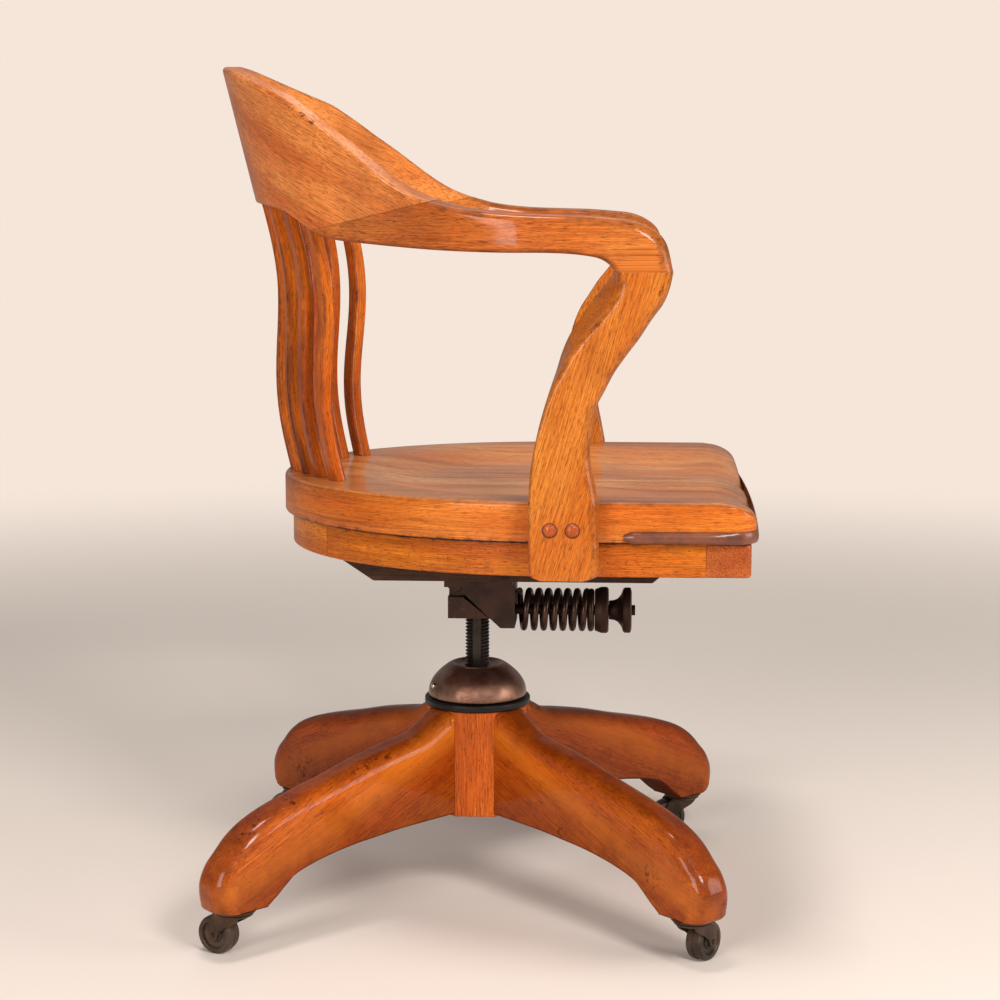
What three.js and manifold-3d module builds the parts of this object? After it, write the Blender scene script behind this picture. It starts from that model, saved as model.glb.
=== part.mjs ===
// A bankers swivel chair in oak, with a screw-height column, a sprung tilting iron and four casters.
// Millimetres, +Z up. The sitter faces -Y. The origin is on the floor, under the swivel column.
import * as THREE from 'three';
import { mergeVertices } from 'three/addons/utils/BufferGeometryUtils.js';
import Module from 'manifold-3d';

const wasm = await Module();
wasm.setup();

// Shared clearances
const FIT = 0.3;
const OVERRUN = 20;
const WELD_DISTANCE = 0.001;

// Casters
const WHEEL_RADIUS = 19.5;
const WHEEL_WIDTH = 18;
const WHEEL_CROWN = 2.5;
const WHEEL_RIM_THICK = 5.5;
const WHEEL_BOSS_THICK = 4.2;
const WHEEL_BOSS_FLARE = 1.4;
const AXLE_RADIUS = 2.5;
const AXLE_PROUD = 1.3;
const CASTER_HEIGHT = 48;
const CASTER_TRAIL = 18.5;
const PLATE_RADIUS = 22;
const PLATE_THICK = 3;
const STEM_RADIUS = 4.5;
const STEM_DEPTH = 26;
const HORN_THICK = 3;
const HORN_DISC_RADIUS = 19.5;
const HORN_DISC_THICK = 3.4;
const HORN_NECK_REAR = 9.4;
const HORN_NECK_FRONT = 13.6;
const HORN_TIP = 5;

// Base
const HUB_BOTTOM = 93;
const HUB_HEIGHT = 112;
const HUB_FACE = 41;
const LEG_THICK = 45;
const LEG_REACH = 351;
const LEG_ROUND = 11;
const LEG_ROUND_STEPS = 3;
const LEG_CAP = 30;
const LEG_SHOULDER_DROP = 0.6;
const LEG_HEEL_DROP = 3;
const SOLE_LENGTH = 52;
const TOE_LIP = 7;
const LEG_TURNS = [45, -45, 135, -135];
const LEG_NAMES = ['rear_right', 'rear_left', 'front_right', 'front_left'];
const CASTER_TURNS = [-25, 20, 235, 20];
const LEG_TOP_SHARES = [
  [0, 1], [0.018, 1], [0.065, 0.948], [0.129, 0.884], [0.226, 0.846], [0.363, 0.791], [0.501, 0.721],
  [0.631, 0.66], [0.745, 0.599], [0.832, 0.532], [0.893, 0.455], [0.936, 0.372], [0.973, 0.295],
  [0.997, 0.199], [1, 0.109], [0.993, 0.026],
];
const LEG_UNDER_SHARES = [
  [0.79, 0.022], [0.76, 0.064], [0.723, 0.122], [0.686, 0.17], [0.606, 0.215], [0.519, 0.247],
  [0.429, 0.269], [0.336, 0.282], [0.245, 0.295], [0.145, 0.301],
];

// Column
const FLANGE_RADIUS = 56;
const FLANGE_THICK = 7.7;
const FLANGE_EDGE = 1.6;
const SOCKET_RADIUS = 19;
const SOCKET_BORE = 16.3;
const SLEEVE_DEPTH = 105;
const COLLAR_RADIUS = 28;
const COLLAR_THICK = 3;
const NUT_RADIUS = 52;
const NUT_LIFT = 0.9;
const NUT_RECESS_GAP = 1.2;
const NUT_HEIGHT = 34.5;
const NUT_CAP_RADIUS = 28.5;
const NUT_SKIRT_SHARE = 0.06;
const NUT_SLOPE_POWER = 2.15;
const NUT_STEPS = 7;
const NUT_SCREW_RADIUS = 3.2;
const NUT_SCREW_LENGTH = 12;
const NUT_SCREW_TURN = 115;
const NUT_SCREW_RISE_SHARE = 0.36;
const SPINDLE_RADIUS = 12.7;
const THREAD_PITCH = 25.4 / 7;
const THREAD_DEPTH = 1.8;
const THREAD_SIDES = 10;
const SPINDLE_SHOWING = 52.5;
const SPINDLE_FOOT = 20;
const SPINDLE_SOCKET = 22;
const KEYWAY_WIDTH = 9.5;
const KEYWAY_DEPTH = 3.4;

// Tilt irons
const IRON_WIDTH = 60;
const IRON_REAR = 29;
const IRON_BITE = 14.5;
const IRON_DEPTH = 49;
const CHEEK_THICK = 8;
const BOSS_RADIUS = 16.6;
const PIVOT_BACK = 20;
const PIVOT_DROP = 16;
const PIVOT_RADIUS = 5;
const KNUCKLE_RADIUS = 8.2;
const KNUCKLE_SHOULDER = 6.6;
const KNUCKLE_WEB = 2;
const IRON_GAP = 0.6;
const PIN_PROUD = 2;
const TOP_PLATE_THICK = 7;
const TOP_PLATE_LAP = 28.8;
const LIP_FACE = 41;
const LIP_THICK = 6;
const LIP_DROP = 10;
const LIP_TOE = 26;
const PRONG_FACE = 27.5;
const PRONG_THICK = 4;
const HOOK_SIDE_GAP = 2;
const HOOK_INSET = 2;
const SPRING_AXIS_DROP = 44;
const BOLT_RADIUS = 5.5;
const BOLT_GAP = 0.9;
const BOLT_REACH = 167;
const HEAD_LENGTH = 6;
const HEAD_HALF_WIDTH = 13;
const HEAD_HALF_HEIGHT = 5;
const SPRING_RADIUS = 23;
const SPRING_WIRE = 6.8;
const SPRING_LENGTH = 83.4;
const SPRING_TURNS = 8;
const SPRING_STUB = 2.4;
const SPRING_BEND = 4.6;
const SPRING_STEPS = 8;
const SPRING_SIDES = 5;
const WASHER_RADIUS = 24.5;
const WASHER_THICK = 14.6;
const WASHER_EDGE = 2.4;
const KNOB_RADIUS = 24;
const KNOB_LENGTH = 24;
// The knob's profile from its waist forward: share of its length, then of its radius.
const KNOB_PROFILE_SHARES = [
  [0, 0.42], [0.15, 0.462], [0.45, 0.672], [0.58, 0.735], [0.62, 0.95], [0.7, 1], [0.9, 1], [1, 0.93],
];

// Seat
const SEAT_THICK = 39;
const SEAT_HALF_WIDTH = 250;
const SEAT_BACK_RADIUS = 280.5;
const SEAT_WAIST = 80;
const SEAT_FRONT = 285;
const SEAT_BOW = 5;
const SEAT_CORNER = 24;
const SEAT_ROUND = 8;
const SEAT_ARRIS = 2;
const SEAT_BOW_STEPS = 4;
const SEAT_CORNER_STEPS = 4;
const SEAT_SIDE_STEPS = 3;
const SEAT_BACK_STEPS = 13;
const DISH_DEPTH = 11;
const DISH_CENTRE = 60;
const DISH_REAR_RIM = 55.5;
const DISH_WIDTH_SHARE = 0.86;
const DISH_SLOPE_SHARE = 0.455;
const DISH_FRONT = 420;
const ROLL_LENGTH = 45;
const ROLL_DROP = 27;
const RIM_SHARES = [0.92, 0.83, 0.72, 0.58, 0.4, 0.2];
const APRON_INSET = 8;
const APRON_DEPTH = 33;
const APRON_THICK = 26;
const APRON_REAR_REACH = 60.5;
const APRON_FRONT_INSET = 10;
const APRON_FRONT_THICK = 43;
const APRON_CORNER = 4;
const BEARER_BELOW = 34;
const BEARER_WIDTH = 36;
const BEARER_GAP = 96;
const BEARER_REAR_INSET = 60.5;
const BEARER_FRONT_INSET = 70;
const BEARER_CHAMFER = 26;
const BEARER_REAR_SLOPE = 39;
const BEARER_FRONT_SLOPE = 31;
const BEAD_HEIGHT = 12;
const BEAD_PROUD = 6;
const BEAD_SIDE_REACH = 132;
const BEAD_END_SHARE = 0.5;
const BEAD_SIDES = 5;

// Arms and crest
const ARM_RISE = 269;
const ARM_DEPTH = 36;
const ARM_WIDTH = 46;
const ARM_REACH = 198;
const ARM_DROP = 53.5;
const ARM_SEAT = 53.5;
const CREST_RISE = 145;
const CREST_SILL = 43;
const CREST_THICK = 24;
const CREST_CENTRE_INSET = 168.5;
const CREST_FOOT_RADIUS = 183;
const CREST_HEAD_RADIUS = 216;
const BOW_CHAMFER = 3.5;
const BOW_STEPS = 2;
const SCARF_REAR = 140;
const SCARF_FRONT = 20;
const SCARF_REAR_RISE = 20;
const SCARF_FRONT_RISE = 48;
// The crest's stations: turns from the rear, then shares of the rise, the sill and the arm's extra width.
const CREST_TURNS = [0, 10, 20, 30, 40, 48, 54, 60, 68];
const CREST_STATION_SHARES = [
  [1, 1, 0], [0.992, 0.995, 0], [0.96, 0.977, 0], [0.908, 0.93, 0], [0.843, 0.8, 0],
  [0.78, 0.55, 0.02], [0.7, 0.34, 0.06], [0.607, 0.22, 0.12], [0.467, 0.16, 0.22],
];
// Each arm station: underside reach, spread and sink, top reach, spread and sink, then width.
// Reach is a share of ARM_REACH, spread of the arm's middle line, sink of ARM_DROP, width of ARM_WIDTH.
const ARM_STATION_SHARES = [
  [-0.25, 0.8, -0.06, -0.283, 0.875, -0.47, 0.74],
  [-0.025, 0.918, -0.02, -0.04, 0.945, -0.135, 0.88],
  [0.2, 0.982, 0, 0.2, 0.988, -0.015, 0.98],
  [0.404, 1, 0, 0.43, 1, 0.02, 1],
  [0.525, 1, 0.018, 0.566, 1, 0.035, 1],
  [0.616, 1, 0.058, 0.707, 1, 0.075, 1],
  [0.662, 1, 0.1, 0.808, 1, 0.12, 1],
  [0.697, 1, 0.175, 0.899, 1, 0.26, 1],
  [0.717, 1, 0.25, 0.965, 1, 0.5, 1],
];

// Arm posts, from the arm's seam down: height share, then shares of the post's reach for the front,
// the rear inner and the rear outer edges, then the share of the arm's inner overhang.
const POST_FOOT_DROP = 70;
const POST_THICK = 28.7;
const POST_CHAMFER = 3;
const POST_STATION_SHARES = [
  [1, 1, 0.727, 0.742, 1], [0.951, 0.985, 0.674, 0.752, 0.98], [0.902, 0.957, 0.616, 0.725, 0.92],
  [0.846, 0.9, 0.563, 0.662, 0.82], [0.79, 0.848, 0.513, 0.586, 0.7], [0.734, 0.788, 0.48, 0.528, 0.56],
  [0.678, 0.732, 0.457, 0.48, 0.42], [0.618, 0.687, 0.429, 0.434, 0.3], [0.559, 0.646, 0.404, 0.404, 0.2],
  [0.478, 0.626, 0.374, 0.374, 0.1], [0.398, 0.621, 0.351, 0.351, 0.04], [0.322, 0.641, 0.338, 0.338, 0],
  [0.245, 0.662, 0.333, 0.333, 0],
];
const POST_STEP_SHARES = [0.664, 0.334];
const POST_FOOT_SHARES = [[0.98, 0.666, 0.336], [0.3, 0.662, 0.343], [0.1, 0.652, 0.368], [0, 0.62, 0.41]];
const PLUG_RADIUS = 6.5;
const PLUG_FACE_RADIUS = 4.9;
const PLUG_DEPTH = 8;
const PLUG_PROUD = 0.7;
const PLUG_REACHES = [86, 107];
const PLUG_DROP = 22.5;

// Slats
const SLAT_COUNT = 9;
const SLAT_WIDTH = 18;
const SLAT_THICK = 13;
const SLAT_CHAMFER = 3;
const SLAT_FOOT_INSET = 10.5;
const SLAT_FOOT_SPREAD = 105;
const SLAT_FOOT_SWEEP = 56;
const SLAT_SWEEP_POWER = 1.5;
const SLAT_HEAD_ANGLE = 49;
const SLAT_SWAY = 6.5;
const SLAT_TURN = 33;
const SLAT_LEVELS = 11;
const SLAT_OVERLENGTH = 10;

// Colours
const OAK = 0xb5651d;
const OAK_DARK = 0x9a4f17;
const STAINED = 0x2f221b;
const BEAD_BROWN = 0x5a3a2c;
const IRON = 0x43352e;
const BLACK_IRON = 0x1f1c1b;
const GUNMETAL = 0x6a564b;

// Levels that follow from the sizes
const HUB_TOP = HUB_BOTTOM + HUB_HEIGHT;
const FLANGE_TOP = HUB_TOP + FIT + FLANGE_THICK;
const COLLAR_BASE = FLANGE_TOP + FIT;
const NUT_SEAT = COLLAR_BASE + COLLAR_THICK + FIT;
const NUT_BASE = FLANGE_TOP + NUT_LIFT;
const NUT_TOP = NUT_BASE + NUT_HEIGHT;
const IRON_BASE = NUT_TOP + SPINDLE_SHOWING;
const IRON_TOP = IRON_BASE + IRON_DEPTH - FIT;
const BEARER_BASE = IRON_BASE + IRON_DEPTH;
const APRON_BASE = BEARER_BASE + BEARER_BELOW;
const SEAT_BASE = APRON_BASE + APRON_DEPTH + FIT;
const SEAT_TOP = SEAT_BASE + SEAT_THICK;
const ARM_TOP = SEAT_TOP + ARM_RISE;
const ARM_UNDER = ARM_TOP - ARM_DEPTH;
const ARM_SEAM = ARM_TOP - ARM_DROP;
const ARM_SPREAD = SEAT_HALF_WIDTH + FIT + POST_THICK;
const ARM_MIDDLE = ARM_SPREAD - ARM_WIDTH / 2;
const SEAT_REAR = SEAT_BACK_RADIUS - SEAT_WAIST;
const CREST_CENTRE = SEAT_REAR - CREST_CENTRE_INSET;
const APRON_FRONT = SEAT_FRONT - APRON_FRONT_INSET;
const APRON_FRONT_JOINT = APRON_FRONT - APRON_FRONT_THICK;
const PIVOT_Z = BEARER_BASE - PIVOT_DROP;
const SPRING_Z = BEARER_BASE - SPRING_AXIS_DROP;
const HUB_APOTHEM = HUB_FACE / 2 + LEG_THICK * Math.SQRT1_2;
const LEG_FACE = (HUB_APOTHEM + HUB_FACE / 2) * Math.SQRT1_2;
const CASTER_PLACE = LEG_REACH - TOE_LIP - SOLE_LENGTH / 2;

const radians = THREE.MathUtils.degToRad;

// Geometry helpers

function signedVolume(position, index) {
  const a = new THREE.Vector3();
  const b = new THREE.Vector3();
  const c = new THREE.Vector3();
  let sum = 0;
  for (let i = 0; i < index.length; i += 3) {
    a.fromBufferAttribute(position, index[i]);
    b.fromBufferAttribute(position, index[i + 1]);
    c.fromBufferAttribute(position, index[i + 2]);
    sum += a.dot(b.cross(c));
  }
  return sum / 6;
}

// Welds the vertices, drops collapsed faces and turns the faces outward.
function closed(geometry) {
  const bare = new THREE.BufferGeometry();
  bare.setAttribute('position', geometry.getAttribute('position'));
  if (geometry.index) bare.setIndex(geometry.index);
  const welded = mergeVertices(bare, WELD_DISTANCE);
  const from = welded.index.array;
  const faces = [];
  for (let i = 0; i < from.length; i += 3) {
    const [p, q, r] = [from[i], from[i + 1], from[i + 2]];
    if (p !== q && q !== r && r !== p) faces.push(p, q, r);
  }
  if (signedVolume(welded.getAttribute('position'), faces) < 0) faces.reverse();
  welded.setIndex(faces);
  return welded;
}

function toSolid(geometry) {
  const tidy = closed(geometry);
  return new wasm.Manifold(new wasm.Mesh({
    numProp: 3,
    vertProperties: new Float32Array(tidy.getAttribute('position').array),
    triVerts: new Uint32Array(tidy.index.array),
  }));
}

function fromSolid(solid) {
  const mesh = solid.getMesh();
  const geometry = new THREE.BufferGeometry();
  geometry.setAttribute('position', new THREE.BufferAttribute(mesh.vertProperties, 3));
  geometry.setIndex(Array.from(mesh.triVerts));
  return geometry;
}

function joined(first, ...others) {
  return fromSolid(others.reduce((sum, next) => sum.add(toSolid(next)), toSolid(first)));
}

function cut(body, ...tools) {
  return fromSolid(tools.reduce((left, tool) => left.subtract(toSolid(tool)), toSolid(body)));
}

function common(first, second) {
  return fromSolid(toSolid(first).intersect(toSolid(second)));
}

function shapeOf(points) {
  return new THREE.Shape(points.map(([u, v]) => new THREE.Vector2(u, v)));
}

function plainExtrude(shape, depth) {
  return new THREE.ExtrudeGeometry(shape, { depth, bevelEnabled: false, curveSegments: 12 });
}

const SIDE_VIEW = new THREE.Matrix4().makeBasis(
  new THREE.Vector3(0, 1, 0), new THREE.Vector3(0, 0, 1), new THREE.Vector3(1, 0, 0));

// Extrudes a side view, given as [back, up] points, across X.
function acrossX(points, fromX, toX) {
  return plainExtrude(shapeOf(points), toX - fromX).applyMatrix4(SIDE_VIEW).translate(fromX, 0, 0);
}

function acrossXBoth(points, halfWidth) {
  return acrossX(points, -halfWidth, halfWidth);
}

// Extrudes a plan, given as [x, y] points, up Z.
function upZ(points, fromZ, toZ) {
  return plainExtrude(shapeOf(points), toZ - fromZ).translate(0, 0, fromZ);
}

function box(fromX, toX, fromY, toY, fromZ, toZ) {
  return new THREE.BoxGeometry(toX - fromX, toY - fromY, toZ - fromZ)
    .translate((fromX + toX) / 2, (fromY + toY) / 2, (fromZ + toZ) / 2);
}

function rodZ(radius, fromZ, toZ, sides = 24) {
  return new THREE.CylinderGeometry(radius, radius, toZ - fromZ, sides)
    .rotateX(Math.PI / 2).translate(0, 0, (fromZ + toZ) / 2);
}

function rodX(radius, fromX, toX, y, z, sides = 20) {
  return new THREE.CylinderGeometry(radius, radius, toX - fromX, sides)
    .rotateZ(Math.PI / 2).translate((fromX + toX) / 2, y, z);
}

function rodY(radius, fromY, toY, z, sides = 20) {
  return new THREE.CylinderGeometry(radius, radius, toY - fromY, sides)
    .translate(0, (fromY + toY) / 2, z);
}

// Turns a closed [radius, height] profile about Z.
function turned(profile, sides = 28) {
  const points = [...profile, profile[0]].map(([r, z]) => new THREE.Vector2(r, z));
  return new THREE.LatheGeometry(points, sides).rotateX(Math.PI / 2);
}

// Turns a closed [radius, reach] profile about the spring's axis; reach runs forward.
function turnedForward(profile, sides = 24) {
  const points = [...profile, profile[0]].map(([r, reach]) => new THREE.Vector2(r, reach));
  return new THREE.LatheGeometry(points, sides).rotateX(Math.PI).translate(0, 0, SPRING_Z);
}

// Joins rings of equally many points into one closed skin, with a fan over each end.
function loft(rings) {
  const count = rings[0].length;
  const positions = rings.flat().flatMap((p) => [p.x, p.y, p.z]);
  const faces = [];
  for (let k = 0; k + 1 < rings.length; k++) {
    for (let i = 0; i < count; i++) {
      const next = (i + 1) % count;
      const [a, b] = [k * count + i, k * count + next];
      faces.push(a, b, b + count, a, b + count, a + count);
    }
  }
  for (const [k, flip] of [[0, true], [rings.length - 1, false]]) {
    const middle = rings[k].reduce((sum, p) => sum.add(p), new THREE.Vector3()).divideScalar(count);
    const hub = positions.length / 3;
    positions.push(middle.x, middle.y, middle.z);
    for (let i = 0; i < count; i++) {
      const [a, b] = [k * count + i, k * count + (i + 1) % count];
      faces.push(...(flip ? [b, a, hub] : [a, b, hub]));
    }
  }
  const geometry = new THREE.BufferGeometry();
  geometry.setAttribute('position', new THREE.Float32BufferAttribute(positions, 3));
  geometry.setIndex(faces);
  return geometry;
}

// The four corners of a section with each corner cut off, as eight points.
function cutCorners(corners, cutLength) {
  return corners.flatMap((corner, i) => {
    const before = corners[(i + corners.length - 1) % corners.length];
    const after = corners[(i + 1) % corners.length];
    const step = (towards) => corner.clone().add(
      towards.clone().sub(corner).setLength(Math.min(cutLength, towards.distanceTo(corner) / 3)));
    return [step(before), step(after)];
  });
}

function smoothStep(t) {
  const share = THREE.MathUtils.clamp(t, 0, 1);
  return share * share * (3 - 2 * share);
}

// Materials and placing

function material(color, roughness, metalness) {
  return new THREE.MeshStandardMaterial({ color, roughness, metalness });
}

const chair = new THREE.Group();

function place(name, geometry, finish, parent = chair) {
  const mesh = new THREE.Mesh(closed(geometry), material(...finish));
  mesh.name = name;
  parent.add(mesh);
  return mesh;
}

const WOOD = [OAK, 0.35, 0];
const WOOD_DARK = [OAK_DARK, 0.35, 0];
const CAST = [IRON, 0.55, 0.8];
const BLACKED = [BLACK_IRON, 0.5, 0.7];

// Base

function hubBlock() {
  const [half, face] = [HUB_FACE / 2, HUB_APOTHEM];
  const corners = [[half, -face], [face, -half], [face, half], [half, face],
    [-half, face], [-face, half], [-face, -half], [-half, -face]];
  const block = upZ(corners, HUB_BOTTOM, HUB_TOP);
  return cut(block, rodZ(SOCKET_RADIUS + FIT, HUB_BOTTOM - OVERRUN, HUB_TOP + OVERRUN, 28));
}

// A leg lies along +Y, with its hub end cut flat against the block.
function legTop() {
  const run = LEG_REACH - LEG_FACE;
  const rise = HUB_TOP - FIT - LEG_SHOULDER_DROP - CASTER_HEIGHT;
  const at = ([along, up]) => [LEG_FACE + along * run, CASTER_HEIGHT + up * rise];
  return { top: LEG_TOP_SHARES.map(at), under: LEG_UNDER_SHARES.map(at) };
}

function legShape() {
  const { top, under } = legTop();
  const root = LEG_FACE - OVERRUN;
  const toe = LEG_REACH - TOE_LIP;
  return [
    [root, HUB_BOTTOM + LEG_HEEL_DROP], [root, top[0][1]], ...top,
    [toe, CASTER_HEIGHT], [toe - SOLE_LENGTH, CASTER_HEIGHT], ...under,
  ];
}

// The top edges and the toe are well rounded, and the underside's edges are left crisp.
function leg() {
  const { top } = legTop();
  const root = LEG_FACE - LEG_CAP;
  const low = CASTER_HEIGHT - LEG_CAP;
  const softShape = [[root, low], [root, top[0][1]], ...top, [top.at(-1)[0], low]];
  const soft = new THREE.ExtrudeGeometry(shapeOf(softShape), {
    depth: LEG_THICK - 2 * LEG_ROUND,
    bevelEnabled: true,
    bevelThickness: LEG_ROUND,
    bevelSize: LEG_ROUND,
    bevelOffset: -LEG_ROUND,
    bevelSegments: LEG_ROUND_STEPS,
  }).translate(0, 0, LEG_ROUND - LEG_THICK / 2).applyMatrix4(SIDE_VIEW);
  const crisp = acrossXBoth(legShape(), LEG_THICK / 2);
  const behindFace = box(-LEG_THICK, LEG_THICK, -LEG_FACE, LEG_FACE + FIT, 0, HUB_TOP + OVERRUN);
  const stem = rodZ(STEM_RADIUS + FIT, 0, CASTER_HEIGHT + STEM_DEPTH + FIT, 16)
    .translate(0, CASTER_PLACE, 0);
  return cut(common(crisp, soft), behindFace, stem);
}

// Casters, each built under its own swivel axis

function casterPlate() {
  const top = CASTER_HEIGHT - FIT;
  return turned([
    [0, top - PLATE_THICK], [PLATE_RADIUS, top - PLATE_THICK], [PLATE_RADIUS, top],
    [STEM_RADIUS, top], [STEM_RADIUS, top + STEM_DEPTH], [0, top + STEM_DEPTH],
  ], 20);
}

const HORN_TOP = CASTER_HEIGHT - PLATE_THICK - 2 * FIT;
const HORN_INNER = WHEEL_WIDTH / 2 + FIT;

function hornCheek(side) {
  const [low, high] = [WHEEL_RADIUS - HORN_TIP, WHEEL_RADIUS + HORN_TIP];
  const [near, far] = [CASTER_TRAIL - HORN_TIP, CASTER_TRAIL + HORN_TIP];
  const outline = [
    [-HORN_NECK_REAR, HORN_TOP - FIT], [HORN_NECK_FRONT, HORN_TOP - FIT],
    [far, high], [far, low], [near, low], [near - HORN_TIP, high],
  ];
  const inner = side * HORN_INNER;
  const outer = side * (HORN_INNER + HORN_THICK);
  return acrossX(outline, Math.min(inner, outer), Math.max(inner, outer));
}

function casterHorn() {
  const disc = rodZ(HORN_DISC_RADIUS, HORN_TOP - HORN_DISC_THICK, HORN_TOP, 20);
  const reach = HORN_INNER + HORN_THICK + OVERRUN;
  const bore = rodX(AXLE_RADIUS + FIT, -reach, reach, CASTER_TRAIL, WHEEL_RADIUS, 12);
  return cut(joined(disc, hornCheek(1), hornCheek(-1)), bore);
}

function casterWheel() {
  const half = WHEEL_WIDTH / 2;
  const bore = AXLE_RADIUS + FIT;
  const boss = bore + WHEEL_BOSS_THICK;
  const flare = boss + WHEEL_BOSS_FLARE;
  const dish = WHEEL_RADIUS - WHEEL_RIM_THICK;
  const profile = [
    [bore, -half], [boss, -half], [flare, -half + WHEEL_CROWN], [dish, -half + WHEEL_CROWN],
    [dish, -half], [WHEEL_RADIUS - WHEEL_CROWN, -half], [WHEEL_RADIUS, -half + WHEEL_CROWN],
    [WHEEL_RADIUS, half - WHEEL_CROWN], [WHEEL_RADIUS - WHEEL_CROWN, half], [dish, half],
    [dish, half - WHEEL_CROWN], [flare, half - WHEEL_CROWN], [boss, half], [bore, half],
  ];
  return turned(profile, 20).rotateY(Math.PI / 2).translate(0, CASTER_TRAIL, WHEEL_RADIUS);
}

function casterAxle() {
  const reach = HORN_INNER + HORN_THICK + AXLE_PROUD;
  return rodX(AXLE_RADIUS, -reach, reach, CASTER_TRAIL, WHEEL_RADIUS, 12);
}

function addLegAndCaster(index) {
  const name = LEG_NAMES[index];
  const arm = new THREE.Group();
  arm.rotation.z = radians(LEG_TURNS[index]);
  chair.add(arm);
  place(`leg_${name}`, leg(), WOOD_DARK, arm);
  const foot = new THREE.Group();
  foot.position.y = CASTER_PLACE;
  foot.rotation.z = radians(CASTER_TURNS[index] - LEG_TURNS[index]);
  arm.add(foot);
  place(`caster_plate_${name}`, casterPlate(), CAST, foot);
  place(`caster_horn_${name}`, casterHorn(), CAST, foot);
  place(`caster_wheel_${name}`, casterWheel(), [BLACK_IRON, 0.6, 0.3], foot);
  place(`caster_axle_${name}`, casterAxle(), CAST, foot);
}

// Column

function flangePlate() {
  const [inner, base] = [SOCKET_RADIUS + FIT, HUB_TOP + FIT];
  const [rim, low, high] = [FLANGE_RADIUS - FLANGE_EDGE, base + FLANGE_EDGE, FLANGE_TOP - FLANGE_EDGE];
  return turned([
    [inner, base], [rim, base], [FLANGE_RADIUS, low], [FLANGE_RADIUS, high], [rim, FLANGE_TOP],
    [inner, FLANGE_TOP],
  ], 36);
}

function socketTube() {
  return turned([
    [SOCKET_BORE, HUB_BOTTOM], [SOCKET_RADIUS, HUB_BOTTOM], [SOCKET_RADIUS, FLANGE_TOP],
    [SOCKET_BORE, FLANGE_TOP],
  ]);
}

function swivelSleeve() {
  const [bore, outer] = [SPINDLE_RADIUS + FIT, SOCKET_BORE - FIT];
  const top = COLLAR_BASE + COLLAR_THICK;
  const tube = turned([
    [bore, COLLAR_BASE - SLEEVE_DEPTH], [outer, COLLAR_BASE - SLEEVE_DEPTH], [outer, COLLAR_BASE],
    [COLLAR_RADIUS, COLLAR_BASE], [COLLAR_RADIUS, top], [bore, top],
  ]);
  const wall = (outer - bore) / 2;
  const halfKey = KEYWAY_WIDTH / 2 - FIT;
  const keyFace = SPINDLE_RADIUS - KEYWAY_DEPTH + FIT;
  const key = box(-bore - wall, -keyFace, -halfKey, halfKey, COLLAR_BASE - SLEEVE_DEPTH, top);
  return joined(tube, key);
}

function nutScrew(extra) {
  const radius = NUT_SCREW_RADIUS + extra;
  const length = NUT_SCREW_LENGTH + extra;
  return new THREE.CylinderGeometry(radius, radius, length + (extra ? OVERRUN : 0), 14)
    .rotateZ(Math.PI / 2)
    .translate(NUT_RADIUS - (extra ? length - OVERRUN : length) / 2 - (extra ? 0 : FIT), 0, 0)
    .translate(0, 0, NUT_BASE + NUT_HEIGHT * NUT_SCREW_RISE_SHARE)
    .rotateZ(radians(NUT_SCREW_TURN));
}

// The dome bulges between its straight skirt and its flat cap.
function heightNut() {
  const bore = SPINDLE_RADIUS + FIT;
  const skirt = NUT_BASE + NUT_HEIGHT * NUT_SKIRT_SHARE;
  const dome = [];
  for (let i = 0; i <= NUT_STEPS; i++) {
    const up = i / NUT_STEPS;
    const out = 1 - up ** NUT_SLOPE_POWER;
    dome.push([NUT_CAP_RADIUS + (NUT_RADIUS - NUT_CAP_RADIUS) * out, skirt + (NUT_TOP - skirt) * up]);
  }
  const recess = COLLAR_RADIUS + NUT_RECESS_GAP;
  const body = turned([
    [recess, NUT_BASE], [NUT_RADIUS, NUT_BASE], ...dome, [bore, NUT_TOP], [bore, NUT_SEAT],
    [recess, NUT_SEAT],
  ], 36);
  return cut(body, nutScrew(FIT));
}

// A right-hand screw: rows of crests and roots climb one pitch a turn.
function screwBlank(fromZ, turns) {
  const rows = turns * 2;
  const root = SPINDLE_RADIUS - THREAD_DEPTH;
  const positions = [];
  const index = new Map();
  const point = (row, side) => {
    if (side === THREAD_SIDES) return point(row + 2, 0);
    const key = row * THREAD_SIDES + side;
    if (!index.has(key)) {
      const turn = (side / THREAD_SIDES) * 2 * Math.PI;
      const radius = row % 2 ? root : SPINDLE_RADIUS;
      const z = fromZ + (row / 2 + side / THREAD_SIDES) * THREAD_PITCH;
      index.set(key, positions.length / 3);
      positions.push(radius * Math.cos(turn), radius * Math.sin(turn), z);
    }
    return index.get(key);
  };
  const faces = [];
  for (let row = 0; row < rows; row++) {
    for (let side = 0; side < THREAD_SIDES; side++) {
      const [a, b] = [point(row, side), point(row, side + 1)];
      const [c, d] = [point(row + 1, side + 1), point(row + 1, side)];
      faces.push(a, b, c, a, c, d);
    }
  }
  for (const [row, flip] of [[0, true], [rows, false]]) {
    const loop = [];
    for (let side = 0; side < THREAD_SIDES; side++) loop.push(point(row, side));
    loop.push(point(row + 2, 0), point(row + 1, 0));
    const hub = positions.length / 3;
    positions.push(0, 0, fromZ + (row / 2 + 0.5) * THREAD_PITCH);
    loop.forEach((a, i) => {
      const b = loop[(i + 1) % loop.length];
      faces.push(...(flip ? [b, a, hub] : [a, b, hub]));
    });
  }
  const geometry = new THREE.BufferGeometry();
  geometry.setAttribute('position', new THREE.Float32BufferAttribute(positions, 3));
  geometry.setIndex(faces);
  return geometry;
}

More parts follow.
